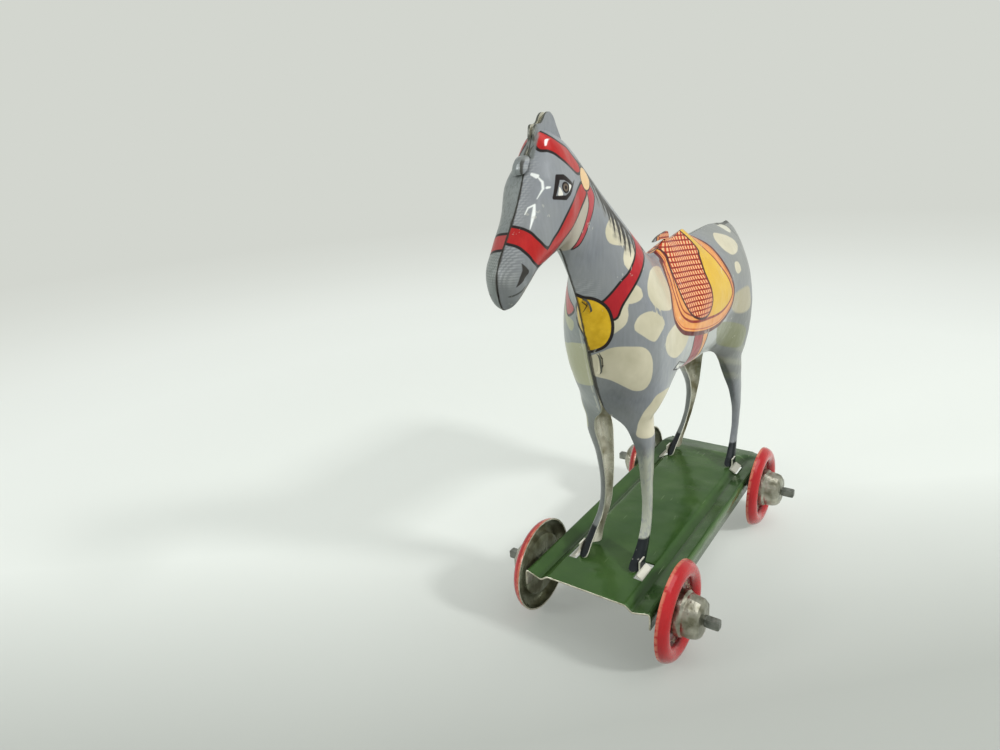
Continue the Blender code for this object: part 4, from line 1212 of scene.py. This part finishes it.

    # The tail's dark tip with its bare patch, the black hooves and a dark line of painted shade in the
    # seam's gap
    colour = drawn("tail_bare").below(0.0, 0.2).mix(colour, paint(206, 204, 188))
    colour = strokes(TAIL_EDGE).below(0.0, 0.2).mix(colour, paint(72, 74, 72))
    tail = across.below(0.62, 0.2) * along.above(33.6, 0.5) * height.above(62.0, 1.0)
    colour = (tail * 0.85).mix(colour, paint(62, 64, 62))
    # Painted shade along the seam's gap, wider below the chest.
    reach = 0.36 + height.below(57.0, 4.0) * 0.22
    seam_shade = (across + wear * 0.35).below(reach, 0.14) * along.below(-15.0, 2.0)
    raw = across.near(0.95, 0.16, 0.2) * height.below(63.0, 2.0) * along.below(-15.0, 2.0) * (1 - left)
    colour = (raw * wear.above(0.45, 0.2) * 0.6).mix(colour, paint(196, 196, 182))
    colour = (seam_shade * 0.85).mix(colour, paint(58, 56, 50))
    crown = across.below(0.8, 0.2) * height.above(84.8, 0.4) * along.below(-35.4, 0.6)
    colour = (crown * 0.9).mix(colour, paint(120, 124, 122))
    colour = height.below(HOOF_TOP, 0.3).mix(colour, paint(24, 30, 32))
    chip = (place.clouds(0.8, 3.0) * place.clouds(5.0, 2.0)).above(0.43, 0.02)
    colour = (chip * 0.35).mix(colour, paint(196, 196, 184))
    colour.into(shader, "Base Color")
    (0.22 + streak * 0.12 + wear * 0.08).into(shader, "Roughness")
    (0.26 - drawn("dapple").below(0.0) * 0.12 - cloth.below(0.0) * 0.12).into(shader, "Metallic")
    (place.clouds(3.5, 2.0) + streak * 0.06).relief(0.22).into(shader, "Normal")
    return made


PRINTED_TIN = litho_finish()
LEG_INSIDE = bare_tin("bare_tin_in_legs", paint(224, 222, 206), paint(138, 132, 106), 0.52, 0.4)


def horse_edge():
    """The edge of the sheet: dark along the seam, as painted shade of its gap, and round the ears; bright
    on the legs and tongues.
    """
    made, shader, place = new_finish("horse_edge", {"Metallic": 0.4})
    # Painted shade: every edge above the legs is made dark, which darkens the seam's gap.
    bright = place.axis("Z").below(47 * MM, 3 * MM)
    bright.mix(paint(84, 86, 78), paint(226, 224, 210)).into(shader, "Base Color")
    (place.clouds(0.6) * 0.3 + 0.22).into(shader, "Roughness")
    return made


HORSE_EDGE = horse_edge()
HORSE_FINISHES = [PRINTED_TIN, LEG_INSIDE, HORSE_EDGE]
TONGUE_BARE_BELOW = 13.7

# Flat lobes that stand up along the seam, as (y, z) round their edge, in the toy's frame
EAR_FOOT = 85.0
EAR = (
    (-37.4, 85.2), (-36.3, 86.6), (-36.2, 87.8), (-35.8, 88.9), (-34.8, 89.0), (-34.2, 89.3), (-33.5, 90.1),
    (-32.6, 90.4), (-31.6, 89.8), (-30.8, 88.6), (-29.6, 86.6), (-30.4, 85.0), (-34.0, 84.6),
)
POMMEL = ((0.9, 68.6), (2.6, 69.3), (4.8, 69.6), (7.6, 69.6), (8.0, 67.4), (6.2, 68.4), (3.2, 68.6))


def lobe(name, outline, side, inset, lean, foot):
    """A flat lobe of the sheet beside the seam, leaning outwards above its foot."""
    build = bmesh.new()
    loop = smooth_loop(outline, 4)
    inner = [build.verts.new(Vector((side * (inset + lean * (z - foot)), y, z)) * MM) for y, z in loop]
    outer = [build.verts.new(corner.co + Vector((side * SHEET * MM, 0, 0))) for corner in inner]
    build.faces.new(inner).material_index = 1
    build.faces.new(outer)
    for i in range(len(loop)):
        after = (i + 1) % len(loop)
        build.faces.new((inner[i], inner[after], outer[after], outer[i])).material_index = 2
    bmesh.ops.recalc_face_normals(build, faces=build.faces)
    bmesh.ops.triangulate(build, faces=build.faces)
    return mesh_of(build, name)


def seam_tab(y, z, tilt, left, right, half_height, lift):
    """A small tab folded over the seam and hammered down, at the seam's tilt, with its reach each way."""
    turn = math.radians(tilt)
    run = Vector((0, math.cos(turn), math.sin(turn)))
    out = Vector((0, -math.sin(turn), math.cos(turn)))
    middle = (left - right) / 2
    reach = (left + right) / 2
    rows = []
    for i in range(13):
        row = []
        share = i / 12
        for j in range(33):
            angle = math.tau * (j % 32) / 32
            boxy = 1 + 0.16 * math.sin(2 * angle) ** 2
            x = middle + reach * share * boxy * math.cos(angle)
            along = half_height * share * boxy * math.sin(angle)
            wrinkle = 0.12 * noise.noise(Vector((x * 1.5, along * 1.9, y))) * (1 - share**3)
            bulge = lift * (1 - share**3) - 0.1 * x * x - 0.12 * share + wrinkle
            row.append(Vector((x, y, z)) + run * along + out * bulge)
        rows.append(row)
    return grid_mesh("tab", rows)


# The tabs on the forehead, at the breast strap and on the chest, each with the way that it faces
SEAM_TABS = (
    ((-38.15, 84.3, 58, 0.6, 2.0, 1.35, 0.6), (0, -1, 1)),
    ((-24.9, 63.2, -62, 1.6, 0.5, 1.2, 0.2), (0, -1, 0)),
    ((-22.0, 53.2, -78, 1.6, 0.4, 1.9, 0.12), (0, -1, 0)),
)


def joined(name, meshes):
    """One mesh from several that share their finishes."""
    build = bmesh.new()
    for mesh in meshes:
        build.from_mesh(mesh)
    return mesh_of(build, name)


def hoof_tab(side, y, outer):
    """The tongue below a hoof, through its slot and folded outward under the platform."""
    line = eased([(outer - 0.02, 15.2), (outer - 0.02, 13.45), (outer + 1.2, 12.75)], 0.3, 4)
    shares = (-0.72, -0.45, -0.2, 0.05, 0.3)
    rows = []
    for point in line:
        length = HOOF_TAB * (0.5 if point.y > 13.6 else 1.0)
        rows.append([(side * point.x, y + length * share, point.y) for share in shares])
    return grid_mesh("tongue", rows)


def thick(mesh, side_up):
    """The mesh with a sheet's thickness, its outer face turned towards side_up."""
    thing = piece("loose_part", mesh, HORSE_FINISHES)
    if mesh.polygons[0].normal.dot(Vector(side_up)) < 0:
        mesh.flip_normals()
    made = give_thickness(thing).data
    bpy.data.objects.remove(thing)
    return made


for word, side in (("left", 1), ("right", -1)):
    cage = piece(f"{word}_cage", half_cage(f"{word}_cage", side), HORSE_FINISHES)
    pressed = cage.modifiers.new("pressed_form", "SUBSURF")
    pressed.levels = 3
    pressed.render_levels = 3
    settled(cage)
    press_in(cage.data, side)
    corners = [corner.co.copy() for corner in cage.data.vertices]
    skin = BVHTree.FromPolygons(corners, [tuple(face.vertices) for face in cage.data.polygons])
    parts = [give_thickness(cage).data, lobe("ear", EAR, side, 0.12, 0.03, EAR_FOOT)]
    bpy.data.objects.remove(cage)
    for hoof_side, y, outer, ahead in HOOVES:
        if hoof_side == side:
            tongue = thick(hoof_tab(side, y, outer), (side, 0, 0))
            for face in tongue.polygons:
                if face.center.z < TONGUE_BARE_BELOW * MM:
                    face.material_index = 2
            parts.append(tongue)
    if side > 0:
        parts.append(lobe("pommel", POMMEL, side, SEAM_GAP, 0, 0))
        for tab, front in SEAM_TABS:
            parts.append(thick(seam_tab(*tab), front))
    name = f"pressed_horse_{word}"
    half = piece(name, joined(name, parts), HORSE_FINISHES)
    half.data.set_sharp_from_angle(angle=math.radians(40))
    print_half(half.data, skin, side)
    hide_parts(f"horse_{word}_half")
    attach(half, "horse_and_platform")

# The table is a pale seamless sheet that rises all round far from the toy, so that no edge shows behind it.
# It keeps the toy's soft shadow near the wheels, lightened by painted glow, and is evenly pale beyond.
FLOOR_REACH = 400.0
RISE_REACH = 1100.0
RISE_HEIGHT = 640.0
SHADE_TURN = math.radians(37.05)
FLOOR_SHARE = 0.85


def pale_table():
    """Matt pale card with a painted falloff of light, lit by the lamps near the toy with painted glow in
    its shadows, and evenly pale beyond.
    """
    made, shader, place = new_finish("pale_table", {"Roughness": 0.75, "Specular IOR Level": 0.2})
    tree = made.node_tree
    # Painted shade: the card is darker over the half that SHADE_TURN points to, as if the light fell off
    # there; far out it settles to one pale grey.
    ahead = place.axis("X") * math.sin(SHADE_TURN) - place.axis("Y") * math.cos(SHADE_TURN)
    beside = place.axis("X") * math.cos(SHADE_TURN) + place.axis("Y") * math.sin(SHADE_TURN)
    slope = ahead + beside.above(0.0, 0.12) * 0.012
    tone_with_falloff = slope.above(0.012, 0.06).mix(paint(236, 241, 235), paint(184, 188, 182))
    away = place.stretched(1, 1, 0).vector("LENGTH", None, 1)
    tone_with_falloff = away.above(0.36, 0.3).mix(tone_with_falloff, paint(211, 214, 207))
    tone_with_falloff.vector("MULTIPLY", (FLOOR_SHARE,) * 3).into(shader, "Base Color")
    path = place.node("ShaderNodeLightPath")
    seen = path.math("MAXIMUM", path, Tone(tree, path.socket.node.outputs["Is Glossy Ray"]))
    # Near the toy about a third of what camera and glossy rays see is glow, which paints light into the
    # toy's shadows.
    glow_share = (away.above(0.2, 0.16) * 0.65 + 0.35) * seen
    glow = place.node("ShaderNodeEmission", {}, {"Color": tone_with_falloff, "Strength": 1.0})
    both = place.node("ShaderNodeMixShader", {}, {0: glow_share, 1: Tone(tree, shader.outputs[0]), 2: glow})
    tree.links.new(both.socket, tree.nodes["Material Output"].inputs["Surface"])
    return made


def table_rows():
    """Rings of the sheet from under the toy out to its raised edge."""
    rings = [(0.001, 0.0), (60.0, 0.0), (150.0, 0.0), (FLOOR_REACH, 0.0)]
    for step in range(1, 13):
        share = step / 12
        rings.append((FLOOR_REACH + (RISE_REACH - FLOOR_REACH) * share, RISE_HEIGHT * share**2))
    turns = [math.tau * i / 64 for i in range(65)]
    return [[(radius * math.cos(t), radius * math.sin(t), z) for t in turns] for radius, z in rings]


table = piece("table", grid_mesh("table", table_rows()), [pale_table()])
if table.data.polygons[0].normal.z < 0:
    table.data.flip_normals()

# Soft studio light: a pale sky that is brighter overhead, a broad lamp above and behind, and a weaker one
# from the front left that draws the small glints on the lacquer.
TOY_MIDDLE = Vector((0, 0, 0.05))
world = bpy.data.worlds.new("pale_sky")
bpy.context.scene.world = world
world.use_nodes = True
sky = world.node_tree.nodes["Background"]
upward = world.node_tree.nodes.new("ShaderNodeTexCoord")
aim = Tone(world.node_tree, upward.outputs["Generated"])
aim.axis("Z").above(0.35, 1.1).mix(paint(168, 172, 170), paint(250, 252, 250)).into(sky, "Color")
sky.inputs["Strength"].default_value = 0.75


def towards(azimuth, elevation):
    """The direction from the toy to a place at these angles in degrees, turned from the horse's front."""
    a, e = math.radians(azimuth), math.radians(elevation)
    return Vector((math.sin(a) * math.cos(e), -math.cos(a) * math.cos(e), math.sin(e)))


def lamp(name, azimuth, elevation, distance, size, power):
    """A square lamp at a distance in metres from the toy's middle, aimed at it."""
    data = bpy.data.lights.new(name, "AREA")
    data.shape = "SQUARE"
    data.size = size
    data.energy = power
    thing = in_scene(name, data)
    back = towards(azimuth, elevation)
    place = Matrix.Translation(TOY_MIDDLE + back * distance)
    thing.matrix_world = place @ back.to_track_quat("Z", "Y").to_matrix().to_4x4()
    return thing


lamp("overhead_lamp", 100, 66, 0.7, 0.5, 1.3)
side_lamp = lamp("side_lamp", 96, 34, 0.8, 0.1, 4.2)
side_lamp.visible_glossy = False
lamp("left_lamp", -35, 24, 0.8, 0.22, 1.5)

# The camera stands where the photograph was taken from, near the toy, at the height of the horse's head
# and to its left. Its place is in millimetres and its angles are in degrees.
CAMERA_PLACE = (48.22, -110.223, 86.926)
CAMERA_AZIMUTH = 37.0545
CAMERA_ELEVATION = 19.2018
CAMERA_ROLL = -4.303
CAMERA_LENS = 23.8155


def camera_turn(azimuth, elevation, roll):
    """The camera's axes as a turn."""
    a, r = math.radians(azimuth), math.radians(roll)
    back = towards(azimuth, elevation)
    right = Vector((math.cos(a), math.sin(a), 0))
    up = back.cross(right)
    across = right * math.cos(r) + up * math.sin(r)
    above = up * math.cos(r) - right * math.sin(r)
    return Matrix((across, above, back)).transposed().to_4x4()


view = bpy.data.cameras.new("camera")
view.sensor_fit = "HORIZONTAL"
view.sensor_width = 36.0
view.lens = CAMERA_LENS
view.clip_start = 0.005
view.clip_end = 10.0
camera = in_scene("camera", view)
camera.matrix_world = Matrix.Translation(Vector(CAMERA_PLACE) * MM) @ camera_turn(
    CAMERA_AZIMUTH, CAMERA_ELEVATION, CAMERA_ROLL)
bpy.context.scene.camera = camera
bpy.context.scene.view_settings.view_transform = "Standard"
